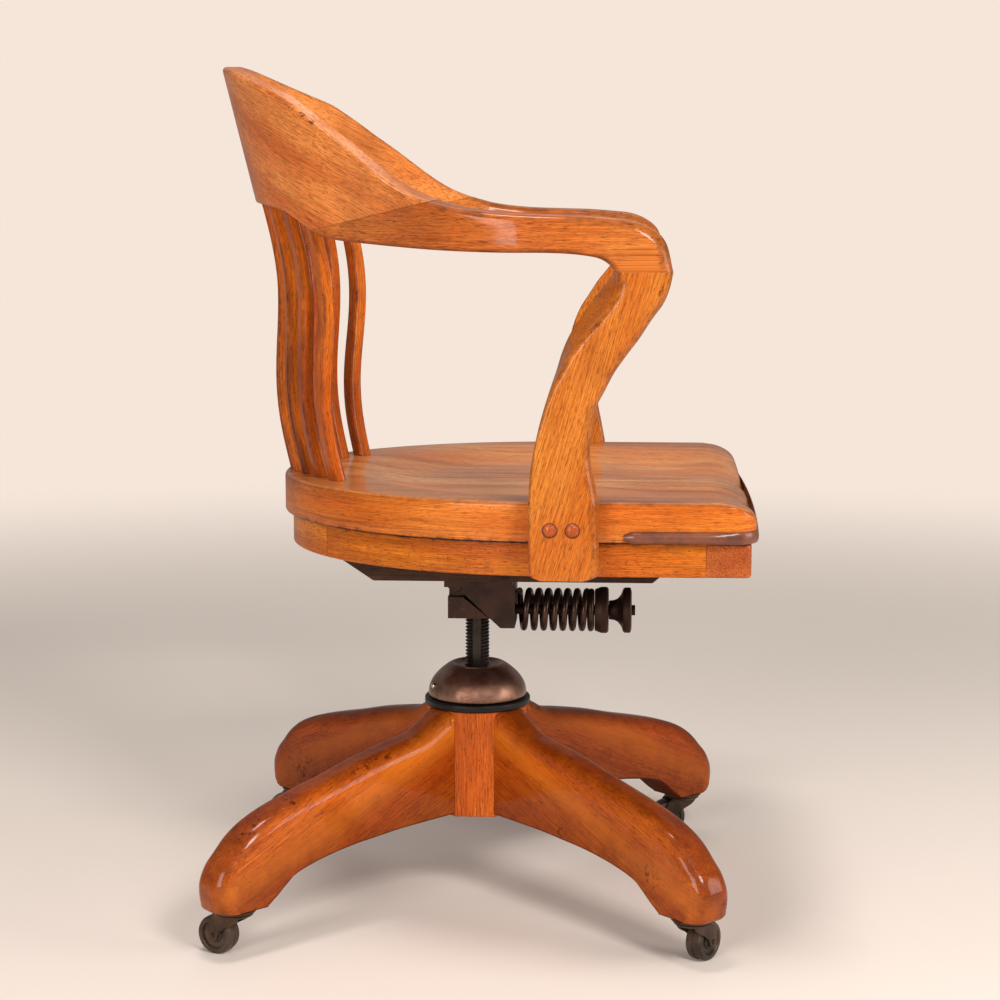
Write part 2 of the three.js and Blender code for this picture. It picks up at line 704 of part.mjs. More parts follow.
function spindle() {
  const foot = HUB_BOTTOM + SPINDLE_FOOT;
  const turns = Math.ceil((IRON_BASE - foot) / THREAD_PITCH) + 2;
  const blank = screwBlank(foot - 2 * THREAD_PITCH, turns);
  const thread = common(blank, rodZ(SPINDLE_RADIUS * 2, foot, IRON_BASE + THREAD_PITCH / 3, 8));
  const shank = rodZ(SPINDLE_RADIUS, IRON_BASE, IRON_BASE + SPINDLE_SOCKET - FIT, 20);
  const half = KEYWAY_WIDTH / 2;
  const slot = box(
    -SPINDLE_RADIUS - OVERRUN, KEYWAY_DEPTH - SPINDLE_RADIUS, -half, half, foot - OVERRUN, IRON_BASE - FIT);
  return cut(joined(thread, shank), slot);
}

// Tilt irons

const HALF_IRON = IRON_WIDTH / 2;
const CAVITY = HALF_IRON - CHEEK_THICK;

// The fixed casting: a block clamped on the spindle, its knuckle, and the hook for the tension bolt.
function tiltHub() {
  const slope = (PIVOT_Z - IRON_BASE) / (PIVOT_BACK + IRON_BITE);
  const nearPivot = PIVOT_BACK - KNUCKLE_SHOULDER;
  const shoulder = IRON_BASE + (nearPivot + IRON_BITE) * slope - FIT;
  const underPivot = PIVOT_Z - KNUCKLE_RADIUS - KNUCKLE_WEB;
  const wide = acrossXBoth([
    [IRON_REAR, IRON_BASE], [IRON_REAR, underPivot], [PIVOT_BACK, underPivot - FIT],
    [nearPivot, Math.min(shoulder, underPivot)], [-IRON_BITE, IRON_BASE],
  ], HALF_IRON);
  const narrow = CAVITY - FIT;
  const neck = acrossXBoth([
    [PIVOT_BACK + KNUCKLE_RADIUS, IRON_BASE + FIT], [PIVOT_BACK + KNUCKLE_RADIUS, PIVOT_Z],
    [PIVOT_BACK - KNUCKLE_RADIUS, PIVOT_Z], [PIVOT_BACK - KNUCKLE_RADIUS, IRON_BASE + FIT],
  ], narrow);
  const knuckle = rodX(KNUCKLE_RADIUS, -narrow, narrow, PIVOT_BACK, PIVOT_Z);
  const boss = rodZ(BOSS_RADIUS, IRON_BASE, IRON_BASE + SPINDLE_SOCKET + PRONG_THICK, 24);
  const hookTop = IRON_BASE + SPINDLE_SOCKET;
  const hookOuter = narrow - HOOK_INSET;
  const hookInner = HEAD_HALF_WIDTH + HOOK_SIDE_GAP;
  const front = -PRONG_FACE - PRONG_THICK;
  const hooks = [1, -1].flatMap((side) => {
    const span = (a, b) => [Math.min(side * a, side * b), Math.max(side * a, side * b)];
    return [
      box(...span(hookInner, hookOuter), front, 0, IRON_BASE, hookTop),
      box(...span(BOLT_RADIUS + BOLT_GAP, hookOuter), front, -PRONG_FACE, IRON_BASE, hookTop),
    ];
  });
  const body = joined(wide, neck, knuckle, boss, ...hooks);
  const socket = rodZ(SPINDLE_RADIUS + FIT, IRON_BASE - OVERRUN, IRON_BASE + SPINDLE_SOCKET, 20);
  const pinBore = rodX(PIVOT_RADIUS + FIT, -IRON_WIDTH, IRON_WIDTH, PIVOT_BACK, PIVOT_Z);
  return cut(body, socket, pinBore);
}

function pivotPin() {
  return rodX(PIVOT_RADIUS, -HALF_IRON - PIN_PROUD, HALF_IRON + PIN_PROUD, PIVOT_BACK, PIVOT_Z);
}

// The swinging casting: two cheeks, a plate screwed under the bearers, and the lip that the spring pushes.
function swingCasting() {
  const slope = (PIVOT_Z - IRON_BASE) / (PIVOT_BACK + IRON_BITE);
  const plateBase = IRON_TOP - TOP_PLATE_THICK;
  const toe = IRON_BASE - LIP_DROP;
  const onSlope = (back) => IRON_BASE + (back + IRON_BITE) * slope + IRON_GAP;
  const cheek = [
    [IRON_REAR, PIVOT_Z], [IRON_REAR, IRON_TOP - FIT], [-LIP_FACE, IRON_TOP - FIT], [-LIP_FACE, toe],
    [-LIP_TOE, toe], [-IRON_BITE, onSlope(-IRON_BITE)],
    [PIVOT_BACK - KNUCKLE_RADIUS, onSlope(PIVOT_BACK - KNUCKLE_RADIUS)],
    [PIVOT_BACK, PIVOT_Z - KNUCKLE_RADIUS],
  ];
  const right = acrossX(cheek, -HALF_IRON, -CAVITY);
  const left = acrossX(cheek, CAVITY, HALF_IRON);
  const wing = BEARER_GAP / 2 + TOP_PLATE_LAP;
  const plate = box(-wing, wing, -LIP_FACE, IRON_REAR, plateBase, IRON_TOP);
  const lipBack = LIP_THICK - LIP_FACE;
  const lip = box(-HALF_IRON, HALF_IRON, -LIP_FACE, lipBack, toe, plateBase + TOP_PLATE_THICK / 2);
  const boltHole = rodY(BOLT_RADIUS + IRON_GAP, -LIP_FACE - OVERRUN, lipBack + LIP_THICK, SPRING_Z);
  const pinBore = rodX(PIVOT_RADIUS + FIT, -IRON_WIDTH, IRON_WIDTH, PIVOT_BACK, PIVOT_Z);
  return cut(joined(plate, right, left, lip), boltHole, pinBore);
}

function tensionBolt() {
  const seat = FIT - PRONG_FACE;
  const head = box(-HEAD_HALF_WIDTH, HEAD_HALF_WIDTH, seat, seat + HEAD_LENGTH,
    SPRING_Z - HEAD_HALF_HEIGHT, SPRING_Z + HEAD_HALF_HEIGHT);
  return joined(head, rodY(BOLT_RADIUS, -BOLT_REACH, -PRONG_FACE + HEAD_LENGTH / 2, SPRING_Z));
}

// The wire's middle line on the unrolled cylinder: straight, a bend, the coils, a bend, straight.
function springLine() {
  const radius = (SPRING_RADIUS * 2 - SPRING_WIRE) / 2;
  const around = SPRING_TURNS * 2 * Math.PI * radius;
  const span = SPRING_LENGTH - 2 * FIT;
  const flat = span / 2 - SPRING_STUB - SPRING_BEND;
  const lean = Math.atan2(2 * flat, around);
  const points = [[0, 0], [0, SPRING_STUB]];
  const bendSteps = 3;
  for (let i = 1; i <= bendSteps; i++) {
    const turn = (i / bendSteps) * (Math.PI / 2 - lean);
    points.push([SPRING_BEND * (1 - Math.cos(turn)), SPRING_STUB + SPRING_BEND * Math.sin(turn)]);
  }
  const [startU, startV] = points[points.length - 1];
  const half = [...points];
  const steps = SPRING_TURNS * SPRING_STEPS;
  const coil = [];
  for (let i = 1; i < steps; i++) {
    const share = i / steps;
    coil.push([startU + share * (around - 2 * startU), startV + share * (span - 2 * startV)]);
  }
  const mirrored = half.map(([u, v]) => [around - u, span - v]).reverse();
  return { radius, points: [...half, ...coil, ...mirrored] };
}

function springPoint(radius, [u, v], extraRadius = 0) {
  const turn = u / radius;
  const r = radius + extraRadius;
  return new THREE.Vector3(r * Math.sin(turn), -LIP_FACE - FIT - v, SPRING_Z + r * Math.cos(turn));
}

function tensionSpring() {
  const { radius, points } = springLine();
  const centres = points.map((p) => springPoint(radius, p));
  const rings = centres.map((centre, i) => {
    const ahead = centres[Math.min(i + 1, centres.length - 1)];
    const behind = centres[Math.max(i - 1, 0)];
    const along = ahead.clone().sub(behind).normalize();
    const outward = springPoint(radius, points[i], 1).sub(centre);
    outward.addScaledVector(along, -outward.dot(along)).normalize();
    const side = new THREE.Vector3().crossVectors(along, outward);
    return Array.from({ length: SPRING_SIDES }, (_, k) => {
      const turn = (k / SPRING_SIDES) * 2 * Math.PI;
      return centre.clone()
        .addScaledVector(outward, Math.cos(turn) * SPRING_WIRE / 2)
        .addScaledVector(side, Math.sin(turn) * SPRING_WIRE / 2);
    });
  });
  reportSpringGap(radius, points);
  return loft(rings);
}

// The least gap between parts of the wire more than half a turn apart.
function reportSpringGap(radius, points) {
  const samples = [];
  for (let i = 0; i + 1 < points.length; i++) {
    for (let k = 0; k < 6; k++) {
      const share = k / 6;
      const u = points[i][0] + share * (points[i + 1][0] - points[i][0]);
      const v = points[i][1] + share * (points[i + 1][1] - points[i][1]);
      samples.push({ u, at: springPoint(radius, [u, v]) });
    }
  }
  let least = Infinity;
  samples.forEach((one, i) => {
    for (let j = i + 1; j < samples.length; j++) {
      if (Math.abs(samples[j].u - one.u) < Math.PI * radius) continue;
      least = Math.min(least, one.at.distanceTo(samples[j].at) - SPRING_WIRE);
    }
  });
  console.log(`spring: least gap between coils ${least.toFixed(2)} mm`);
}

const WASHER_FACE = LIP_FACE + SPRING_LENGTH;
const KNOB_FACE = WASHER_FACE + WASHER_THICK + FIT;

function cupWasher() {
  const bore = BOLT_RADIUS + FIT;
  const edge = WASHER_EDGE;
  const front = WASHER_FACE + WASHER_THICK;
  return turnedForward([
    [bore, WASHER_FACE], [SPRING_RADIUS, WASHER_FACE], [WASHER_RADIUS, WASHER_FACE + edge],
    [WASHER_RADIUS, front - edge], [WASHER_RADIUS - edge, front], [bore, front],
  ]);
}

function tensionKnob() {
  const bore = BOLT_RADIUS + FIT;
  const at = ([along, out]) => [out * KNOB_RADIUS, KNOB_FACE + along * KNOB_LENGTH];
  const skin = KNOB_PROFILE_SHARES.map(at);
  return turnedForward([[bore, KNOB_FACE], ...skin, [bore, KNOB_FACE + KNOB_LENGTH]]);
}

// Seat

// Half of the outline, from the middle of the front round the left side to the middle of the rear.
function seatOutlineHalf() {
  const [half, corner] = [SEAT_HALF_WIDTH, SEAT_CORNER];
  const shoulder = SEAT_BOW - SEAT_FRONT;
  const points = [];
  for (let i = 0; i < SEAT_BOW_STEPS; i++) {
    const share = i / SEAT_BOW_STEPS;
    points.push([share * (half - corner), SEAT_BOW * share * share - SEAT_FRONT]);
  }
  for (let i = 0; i < SEAT_CORNER_STEPS; i++) {
    const turn = (i / SEAT_CORNER_STEPS) * Math.PI / 2;
    points.push([half - corner + corner * Math.sin(turn), shoulder + corner * (1 - Math.cos(turn))]);
  }
  for (let i = 0; i < SEAT_SIDE_STEPS; i++) {
    const share = i / SEAT_SIDE_STEPS;
    points.push([half, THREE.MathUtils.lerp(shoulder + corner, -SEAT_WAIST, share)]);
  }
  for (let i = 0; i <= SEAT_BACK_STEPS; i++) {
    const turn = (i / SEAT_BACK_STEPS) * Math.PI / 2;
    points.push([half * Math.cos(turn), SEAT_BACK_RADIUS * Math.sin(turn) - SEAT_WAIST]);
  }
  return points;
}

function seatOutline() {
  const left = seatOutlineHalf();
  const right = left.slice(1, -1).reverse().map(([x, y]) => [-x, y]);
  return [...left, ...right].map(([x, y]) => new THREE.Vector2(x, y));
}

const SEAT_EDGE = seatOutline();

// The seat's outline moved inward, or outward for a negative inset.
function insetOutline(inset) {
  return SEAT_EDGE.map((p, i) => {
    const ahead = SEAT_EDGE[(i + 1) % SEAT_EDGE.length].clone().sub(p).normalize();
    const behind = p.clone().sub(SEAT_EDGE.at(i - 1)).normalize();
    const along = ahead.add(behind);
    const miter = 2 / along.lengthSq();
    return new THREE.Vector2(p.x - along.y * inset * miter, p.y + along.x * inset * miter);
  });
}

// Height of the seat's top: a shallow dish, rolled over at the front.
function seatHeight(x, y) {
  const length = -y > DISH_CENTRE ? DISH_FRONT : SEAT_REAR + DISH_CENTRE - DISH_REAR_RIM;
  const edge = Math.hypot(x / (SEAT_HALF_WIDTH * DISH_WIDTH_SHARE), (-y - DISH_CENTRE) / length);
  const dish = DISH_DEPTH * smoothStep((1 - edge) / DISH_SLOPE_SHARE);
  const into = THREE.MathUtils.clamp((-y - SEAT_FRONT + ROLL_LENGTH) / ROLL_LENGTH, 0, 1);
  const roll = ROLL_DROP * (1 - Math.sqrt(1 - into * into));
  return SEAT_TOP - dish - roll;
}

function seatBoard() {
  const [chamfer, bevel] = [SEAT_ARRIS, SEAT_ROUND * (1 - Math.SQRT1_2)];
  const ring = (inset, heightAt) => insetOutline(inset)
    .map((p) => new THREE.Vector3(p.x, p.y, heightAt(p.x, p.y)));
  const rings = [
    ring(chamfer, () => SEAT_BASE),
    ring(0, () => SEAT_BASE + chamfer),
    ring(0, (x, y) => Math.max(seatHeight(x, y) - SEAT_ROUND, SEAT_BASE + 2 * chamfer)),
    ring(bevel, (x, y) => seatHeight(x, y) - bevel),
    ring(SEAT_ROUND, seatHeight),
  ];
  const rim = rings[rings.length - 1];
  for (const share of RIM_SHARES) {
    rings.push(rim.map((p) => {
      const x = p.x * share;
      const y = -DISH_CENTRE + (p.y + DISH_CENTRE) * share;
      return new THREE.Vector3(x, y, seatHeight(x, y));
    }));
  }
  return loft(rings);
}

function planPrism(points, fromZ, toZ) {
  return upZ(points.map((p) => [p.x, p.y]), fromZ, toZ);
}

// The inset outline without its front corners, which the straight front rail takes in.
function behindCorners(inset) {
  const cornerEnd = SEAT_BOW + SEAT_CORNER - SEAT_FRONT;
  return insetOutline(inset).filter((_, i) => SEAT_EDGE[i].y > cornerEnd - FIT);
}

function apronRing() {
  const top = SEAT_BASE - FIT;
  const outer = planPrism(behindCorners(APRON_INSET), APRON_BASE, top);
  const inner = planPrism(behindCorners(APRON_INSET + APRON_THICK), APRON_BASE - OVERRUN, top + OVERRUN);
  return cut(outer, inner);
}

// The front rail is straight, with its end grain showing at both sides.
function apronFront() {
  const [half, front, back] = [SEAT_HALF_WIDTH - APRON_INSET, -APRON_FRONT, -APRON_FRONT_JOINT - FIT];
  const corner = APRON_CORNER;
  const plan = [
    [half, back], [half, front + corner], [half - corner, front],
    [corner - half, front], [-half, front + corner], [-half, back],
  ];
  return upZ(plan, APRON_BASE, SEAT_BASE - FIT);
}

// The ring behind it is cut into three members, with a hairline at each joint.
function apronMember(ring, fromX, toX, fromY, toY) {
  return common(ring, box(fromX, toX, fromY, toY, APRON_BASE - OVERRUN, SEAT_BASE + OVERRUN));
}

function addAprons() {
  const ring = apronRing();
  const far = SEAT_FRONT + SEAT_BACK_RADIUS;
  const [rear, front] = [SEAT_REAR - APRON_REAR_REACH, -APRON_FRONT_JOINT];
  place('apron_rear', apronMember(ring, -far, far, rear + FIT, far), WOOD);
  place('apron_front', apronFront(), WOOD);
  place('apron_left', apronMember(ring, 0, far, front, rear), WOOD);
  place('apron_right', apronMember(ring, -far, 0, front, rear), WOOD);
}

function bearer(side) {
  const top = SEAT_BASE - FIT;
  const [rear, front] = [SEAT_REAR - BEARER_REAR_INSET, BEARER_FRONT_INSET - SEAT_FRONT];
  const outline = [
    [rear, top], [rear, BEARER_BASE + BEARER_CHAMFER], [rear - BEARER_REAR_SLOPE, BEARER_BASE],
    [front + BEARER_FRONT_SLOPE, BEARER_BASE], [front, BEARER_BASE + BEARER_CHAMFER], [front, top],
  ];
  const [inner, outer] = [side * BEARER_GAP / 2, side * (BEARER_GAP / 2 + BEARER_WIDTH)];
  return acrossX(outline, Math.min(inner, outer), Math.max(inner, outer));
}

// A half-round bead round the seat's front edge, thinned at both ends.
function guardBead() {
  const half = BEAD_HEIGHT / 2;
  const middle = SEAT_BASE + half;
  const start = BEAD_SIDE_REACH - SEAT_FRONT;
  const behind = SEAT_EDGE.length / 2;
  const order = SEAT_EDGE.map((_, i) => (i + behind) % SEAT_EDGE.length);
  const front = order.filter((i) => SEAT_EDGE[i].y < start);
  const rings = front.map((i, step) => {
    const size = step === 0 || step === front.length - 1 ? BEAD_END_SHARE : 1;
    return Array.from({ length: BEAD_SIDES + 1 }, (_, k) => {
      const turn = (k / BEAD_SIDES - 0.5) * Math.PI;
      const out = insetOutline(-FIT - Math.cos(turn) * BEAD_PROUD * size)[i];
      return new THREE.Vector3(out.x, out.y, middle + Math.sin(turn) * half * size);
    });
  });
  const end = (ring) => ring.map((p) => p.clone().setY(start));
  return loft([end(rings[0]), ...rings, end(rings.at(-1))]);
}

// Arms and crest: one bow from nose to nose, cut into three pieces at the two scarf joints

function crestStation([rise, sill, widen], index) {
  const turn = radians(CREST_TURNS[index]);
  const [s, c] = [Math.sin(turn), Math.cos(turn)];
  return {
    foot: new THREE.Vector3(
      s * CREST_FOOT_RADIUS, CREST_CENTRE + c * CREST_FOOT_RADIUS, ARM_UNDER + sill * CREST_SILL),
    head: new THREE.Vector3(
      s * CREST_HEAD_RADIUS, CREST_CENTRE + c * CREST_HEAD_RADIUS, ARM_TOP + rise * CREST_RISE),
    width: CREST_THICK + widen * (ARM_WIDTH - CREST_THICK),
  };
}

function armStation([footReach, footSpread, footSink, headReach, headSpread, headSink, width]) {
  return {
    foot: new THREE.Vector3(
      footSpread * ARM_MIDDLE, -footReach * ARM_REACH, ARM_UNDER - footSink * ARM_DROP),
    head: new THREE.Vector3(
      headSpread * ARM_MIDDLE, -headReach * ARM_REACH, ARM_TOP - headSink * ARM_DROP),
    width: width * ARM_WIDTH,
  };
}

function noseStation() {
  return {
    foot: new THREE.Vector3(ARM_MIDDLE, ARM_SEAT - ARM_REACH, ARM_SEAM),
    head: new THREE.Vector3(ARM_MIDDLE, -ARM_REACH, ARM_SEAM),
    width: ARM_WIDTH,
  };
}

// Stations from the middle of the crest to the left nose, with smooth ones between those listed.
function bowStations() {
  const crest = CREST_STATION_SHARES.map(crestStation);
  const listed = [...crest, ...ARM_STATION_SHARES.map(armStation), noseStation()];
  const curveOf = (key) => new THREE.CatmullRomCurve3(
    listed.map((station) => station[key]), false, 'catmullrom', 0.5);
  const [feet, heads] = [curveOf('foot'), curveOf('head')];
  const last = listed.length - 1;
  const stations = [];
  for (let i = 0; i <= last * BOW_STEPS; i++) {
    const place = i / BOW_STEPS;
    const before = Math.min(Math.floor(place), last - 1);
    stations.push({
      foot: feet.getPoint(place / last),
      head: heads.getPoint(place / last),
      width: THREE.MathUtils.lerp(listed[before].width, listed[before + 1].width, place - before),
    });
  }
  return stations;
}

function bowHalf() {
  const stations = bowStations();
  const plan = stations.map(({ foot, head }) => new THREE.Vector2(
    (foot.x + head.x) / 2, (foot.y + head.y) / 2));
  const rings = stations.map((station, i) => {
    const ahead = plan[Math.min(i + 1, plan.length - 1)];
    const behind = i > 0 ? plan[i - 1] : new THREE.Vector2(-ahead.x, ahead.y);
    const along = ahead.clone().sub(behind).normalize();
    const side = new THREE.Vector3(along.y, -along.x, 0).multiplyScalar(station.width / 2);
    const corners = [
      station.foot.clone().add(side), station.head.clone().add(side),
      station.head.clone().sub(side), station.foot.clone().sub(side),
    ];
    return cutCorners(corners, BOW_CHAMFER);
  });
  return loft(rings);
}

function mirrored(geometry) {
  return geometry.clone().applyMatrix4(new THREE.Matrix4().makeScale(-1, 1, 1));
}

function bow() {
  const left = bowHalf();
  return joined(left, mirrored(left));
}

const BOW = bow();

// The scarf's slope in side view; the arm lies below it.
function scarfWedge(offset) {
  const slope = (SCARF_FRONT_RISE - SCARF_REAR_RISE) / (SCARF_REAR - SCARF_FRONT);
  const at = (back) => ARM_UNDER + SCARF_REAR_RISE + (SCARF_REAR - back) * slope + offset;
  const rear = SCARF_REAR + CREST_HEAD_RADIUS;
  const front = -ARM_REACH - OVERRUN;
  const floor = ARM_SEAM - OVERRUN;
  return acrossXBoth([[rear, floor], [rear, at(rear)], [front, at(front)], [front, floor]], ARM_SPREAD * 2);
}

function addBow() {
  place('crest_rail', cut(BOW, scarfWedge(FIT)), WOOD);
  const arms = common(BOW, scarfWedge(0));
  const far = ARM_SPREAD * 2;
  const half = (fromX, toX) => common(arms, box(fromX, toX, -far, far, 0, ARM_TOP * 2));
  place('arm_left', half(0, far), WOOD);
  place('arm_right', half(-far, 0), WOOD);
}

// Arm posts

function postRing(side, z, front, rearInner, rearOuter, innerX, outerX) {
  const at = (x, reach) => new THREE.Vector3(side * x, -reach, z);
  const corners = [at(innerX, rearInner), at(innerX, front), at(outerX, front), at(outerX, rearOuter)];
  return cutCorners(corners, POST_CHAMFER);
}

function armPost(side) {
  const top = ARM_SEAM - FIT;
  const foot = SEAT_TOP - POST_FOOT_DROP;
  const height = top - foot;
  const onBoard = SEAT_HALF_WIDTH + FIT;
  const onApron = SEAT_HALF_WIDTH - APRON_INSET + FIT;
  const overhang = ARM_SPREAD - ARM_WIDTH - onBoard;
  const upper = POST_STATION_SHARES.map(([up, front, inner, outer, lean]) => postRing(
    side, foot + up * height, front * ARM_REACH, inner * ARM_REACH, outer * ARM_REACH,
    onBoard + lean * overhang, ARM_SPREAD));
  const [front, rear] = POST_STEP_SHARES.map((share) => share * ARM_REACH);
  const step = postRing(side, SEAT_BASE, front, rear, rear, onBoard, ARM_SPREAD);
  const below = SEAT_BASE - FIT - foot;
  const lower = POST_FOOT_SHARES.map(([up, fore, aft]) => postRing(
    side, foot + up * below, fore * ARM_REACH, aft * ARM_REACH, aft * ARM_REACH, onApron, ARM_SPREAD));
  const body = loft([...upper, step, ...lower]);
  const holes = PLUG_REACHES.map((reach) => rodX(
    PLUG_RADIUS + FIT, ARM_SPREAD - PLUG_DEPTH - FIT, ARM_SPREAD + OVERRUN, -reach, SEAT_TOP - PLUG_DROP, 16)
    .applyMatrix4(new THREE.Matrix4().makeScale(side, 1, 1)));
  return cut(body, ...holes);
}

function plug(side, reach) {
  const z = SEAT_TOP - PLUG_DROP;
  const face = new THREE.CylinderGeometry(PLUG_FACE_RADIUS, PLUG_RADIUS, PLUG_PROUD, 16)
    .rotateZ(-Math.PI / 2).translate(ARM_SPREAD + PLUG_PROUD / 2, -reach, z);
  const shank = rodX(PLUG_RADIUS, ARM_SPREAD - PLUG_DEPTH, ARM_SPREAD, -reach, z, 16);
  return joined(shank, face).applyMatrix4(new THREE.Matrix4().makeScale(side, 1, 1));
}

// Slats: each runs from the seat's rim to the crest, and sways back and forth once on the way

function slat(index) {
  const share = (2 * index) / (SLAT_COUNT - 1) - 1;
  const footX = share * SLAT_FOOT_SPREAD;
  const footY = SEAT_REAR - SLAT_FOOT_INSET - SLAT_FOOT_SWEEP * Math.abs(share) ** SLAT_SWEEP_POWER;
  const headTurn = radians(share * SLAT_HEAD_ANGLE);
  const headX = Math.sin(headTurn) * CREST_FOOT_RADIUS;
  const headY = CREST_CENTRE + Math.cos(headTurn) * CREST_FOOT_RADIUS;
  const headZ = sillHeight(Math.abs(share) * SLAT_HEAD_ANGLE);
  const footZ = SEAT_TOP + FIT;
  const turn = radians(-share * SLAT_TURN);
  const across = new THREE.Vector3(Math.cos(turn), Math.sin(turn), 0).multiplyScalar(SLAT_WIDTH / 2);
  const through = new THREE.Vector3(-Math.sin(turn), Math.cos(turn), 0).multiplyScalar(SLAT_THICK / 2);
  const rings = [];
  for (let level = 0; level < SLAT_LEVELS; level++) {
    const up = level / (SLAT_LEVELS - 1);
    const sway = SLAT_SWAY * Math.sin(2 * Math.PI * up);
    const middle = new THREE.Vector3(
      THREE.MathUtils.lerp(footX, headX, up),
      THREE.MathUtils.lerp(footY, headY, up) + sway,
      THREE.MathUtils.lerp(footZ, headZ, up));
    const corners = [[1, 1], [-1, 1], [-1, -1], [1, -1]].map(([a, b]) => middle.clone()
      .addScaledVector(across, a).addScaledVector(through, b));
    rings.push(cutCorners(corners, SLAT_CHAMFER));
  }
  rings.push(rings.at(-1).map((p) => p.clone().setZ(headZ + SLAT_OVERLENGTH)));
  return cut(loft(rings), BOW.clone().translate(0, 0, -FIT));
}

// Height of the crest's underside at a turn from the rear.
function sillHeight(degrees) {
  const next = Math.max(1, CREST_TURNS.findIndex((turn) => turn >= degrees));
  const share = (degrees - CREST_TURNS[next - 1]) / (CREST_TURNS[next] - CREST_TURNS[next - 1]);
  const [before, after] = [CREST_STATION_SHARES[next - 1][1], CREST_STATION_SHARES[next][1]];
  return ARM_UNDER + THREE.MathUtils.lerp(before, after, share) * CREST_SILL;
}

// Assembly

place('hub_block', hubBlock(), WOOD_DARK);
LEG_NAMES.forEach((_, index) => addLegAndCaster(index));
place('flange_plate', flangePlate(), BLACKED);
place('socket_tube', socketTube(), BLACKED);
place('swivel_sleeve', swivelSleeve(), CAST);
place('height_nut', heightNut(), [GUNMETAL, 0.35, 0.9]);
place('nut_lock_screw', nutScrew(0), CAST);
place('spindle', spindle(), BLACKED);
place('tilt_hub', tiltHub(), CAST);
place('pivot_pin', pivotPin(), CAST);
place('swing_casting', swingCasting(), CAST);
place('tension_bolt', tensionBolt(), CAST);
place('tension_spring', tensionSpring(), BLACKED);
place('cup_washer', cupWasher(), CAST);
place('tension_knob', tensionKnob(), CAST);
place('seat_board', seatBoard(), WOOD);
addAprons();
place('bearer_left', bearer(1), [STAINED, 0.6, 0]);
place('bearer_right', bearer(-1), [STAINED, 0.6, 0]);
place('guard_bead', guardBead(), [BEAD_BROWN, 0.3, 0.4]);
addBow();
for (const [side, name] of [[1, 'left'], [-1, 'right']]) {
  place(`arm_post_${name}`, armPost(side), WOOD);
  PLUG_REACHES.forEach((reach, i) => {
    place(`plug_${name}_${i + 1}`, plug(side, reach), WOOD_DARK);
  });
}
for (let index = 0; index < SLAT_COUNT; index++) {
  place(`slat_${index + 1}`, slat(index), WOOD);
}

export default chair;
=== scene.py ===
from functools import reduce
from math import atan2, cos, degrees, hypot, pi, radians, sin, sqrt

import bmesh
import bpy
from mathutils import Matrix, Vector


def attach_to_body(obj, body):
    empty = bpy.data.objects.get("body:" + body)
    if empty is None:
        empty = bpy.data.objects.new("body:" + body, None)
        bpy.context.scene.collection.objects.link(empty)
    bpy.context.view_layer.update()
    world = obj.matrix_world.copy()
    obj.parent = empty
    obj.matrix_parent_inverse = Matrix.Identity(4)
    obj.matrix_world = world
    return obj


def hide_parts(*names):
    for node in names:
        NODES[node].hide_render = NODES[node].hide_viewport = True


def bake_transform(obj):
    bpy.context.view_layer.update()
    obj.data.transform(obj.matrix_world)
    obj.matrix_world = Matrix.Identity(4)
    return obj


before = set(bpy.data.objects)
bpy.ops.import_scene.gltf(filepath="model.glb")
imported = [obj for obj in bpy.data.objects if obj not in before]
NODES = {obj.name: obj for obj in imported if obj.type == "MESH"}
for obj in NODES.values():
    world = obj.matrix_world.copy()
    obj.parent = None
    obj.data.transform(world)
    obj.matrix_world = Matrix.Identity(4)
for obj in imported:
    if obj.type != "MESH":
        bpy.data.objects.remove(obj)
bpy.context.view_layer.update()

MM = 0.001
SIDES = ((1, "left"), (-1, "right"))

# Sizes in millimetres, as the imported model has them
FIT = 0.3
HUB_BOTTOM, HUB_TOP, HUB_FACE, HUB_BORE, HUB_CHAMFER = 93.0, 205.0, 41.0, 19.3, 1.0
LEG_THICK, LEG_REACH, SOLE_Z, SOLE_LENGTH, TOE_LIP = 45.0, 351.0, 48.0, 52.0, 7.0
HUB_APOTHEM = HUB_FACE / 2 + LEG_THICK * sqrt(0.5)
LEG_FACE = (HUB_APOTHEM + HUB_FACE / 2) * sqrt(0.5)
# How far each leg and its caster are turned, in degrees
LEGS = {"rear_right": (45, -25), "rear_left": (-45, 20), "front_right": (135, 235), "front_left": (-135, 20)}
CASTER_PLACE = LEG_REACH - TOE_LIP - SOLE_LENGTH / 2
PLATE_THICK, CHEEK_THICK, AXLE_BOSS, CASTER_TRAIL = 3.0, 3.0, 6.0, 18.5
WHEEL_RADIUS, WHEEL_WIDTH, WHEEL_FACETS = 19.5, 18.0, 0.15
FLANGE_TOP, FLANGE_RADIUS, FLANGE_BORE = 213.0, 56.0, 20.0
NUT_BASE, NUT_HEIGHT, NUT_RADIUS, NUT_CAP = 213.9, 34.5, 52.0, 28.5
NUT_TOP = NUT_BASE + NUT_HEIGHT
SPINDLE_RADIUS, PITCH, THREAD_DEPTH, SPINDLE_LOW = 12.7, 25.4 / 7, 1.8, 113.0
KEYWAY_HALF, KEYWAY_DEPTH = 4.75, 3.4
IRON_BASE = NUT_TOP + 52.5
BEARER_BASE = IRON_BASE + 49.0
PIVOT_Y, PIVOT_Z, PIVOT_HALF = 20.0, BEARER_BASE - 16, 32.0
SPRING_Z, SPRING_OUTER, SPRING_WIRE, SPRING_TURNS = BEARER_BASE - 44.0, 46.0, 6.8, 8
LIP_FACE, SPRING_LENGTH, BOLT_BORE = 41.0, 83.4, 5.8
APRON_BASE, APRON_INSET, APRON_THICK = BEARER_BASE + 34.0, 8.0, 26.0
REAR_JOINT, FRONT_JOINT, APRON_FRONT = 140.0, -232.0, -275.0
SEAT_BASE = APRON_BASE + 33.0 + FIT
SEAT_TOP = SEAT_BASE + 39.0
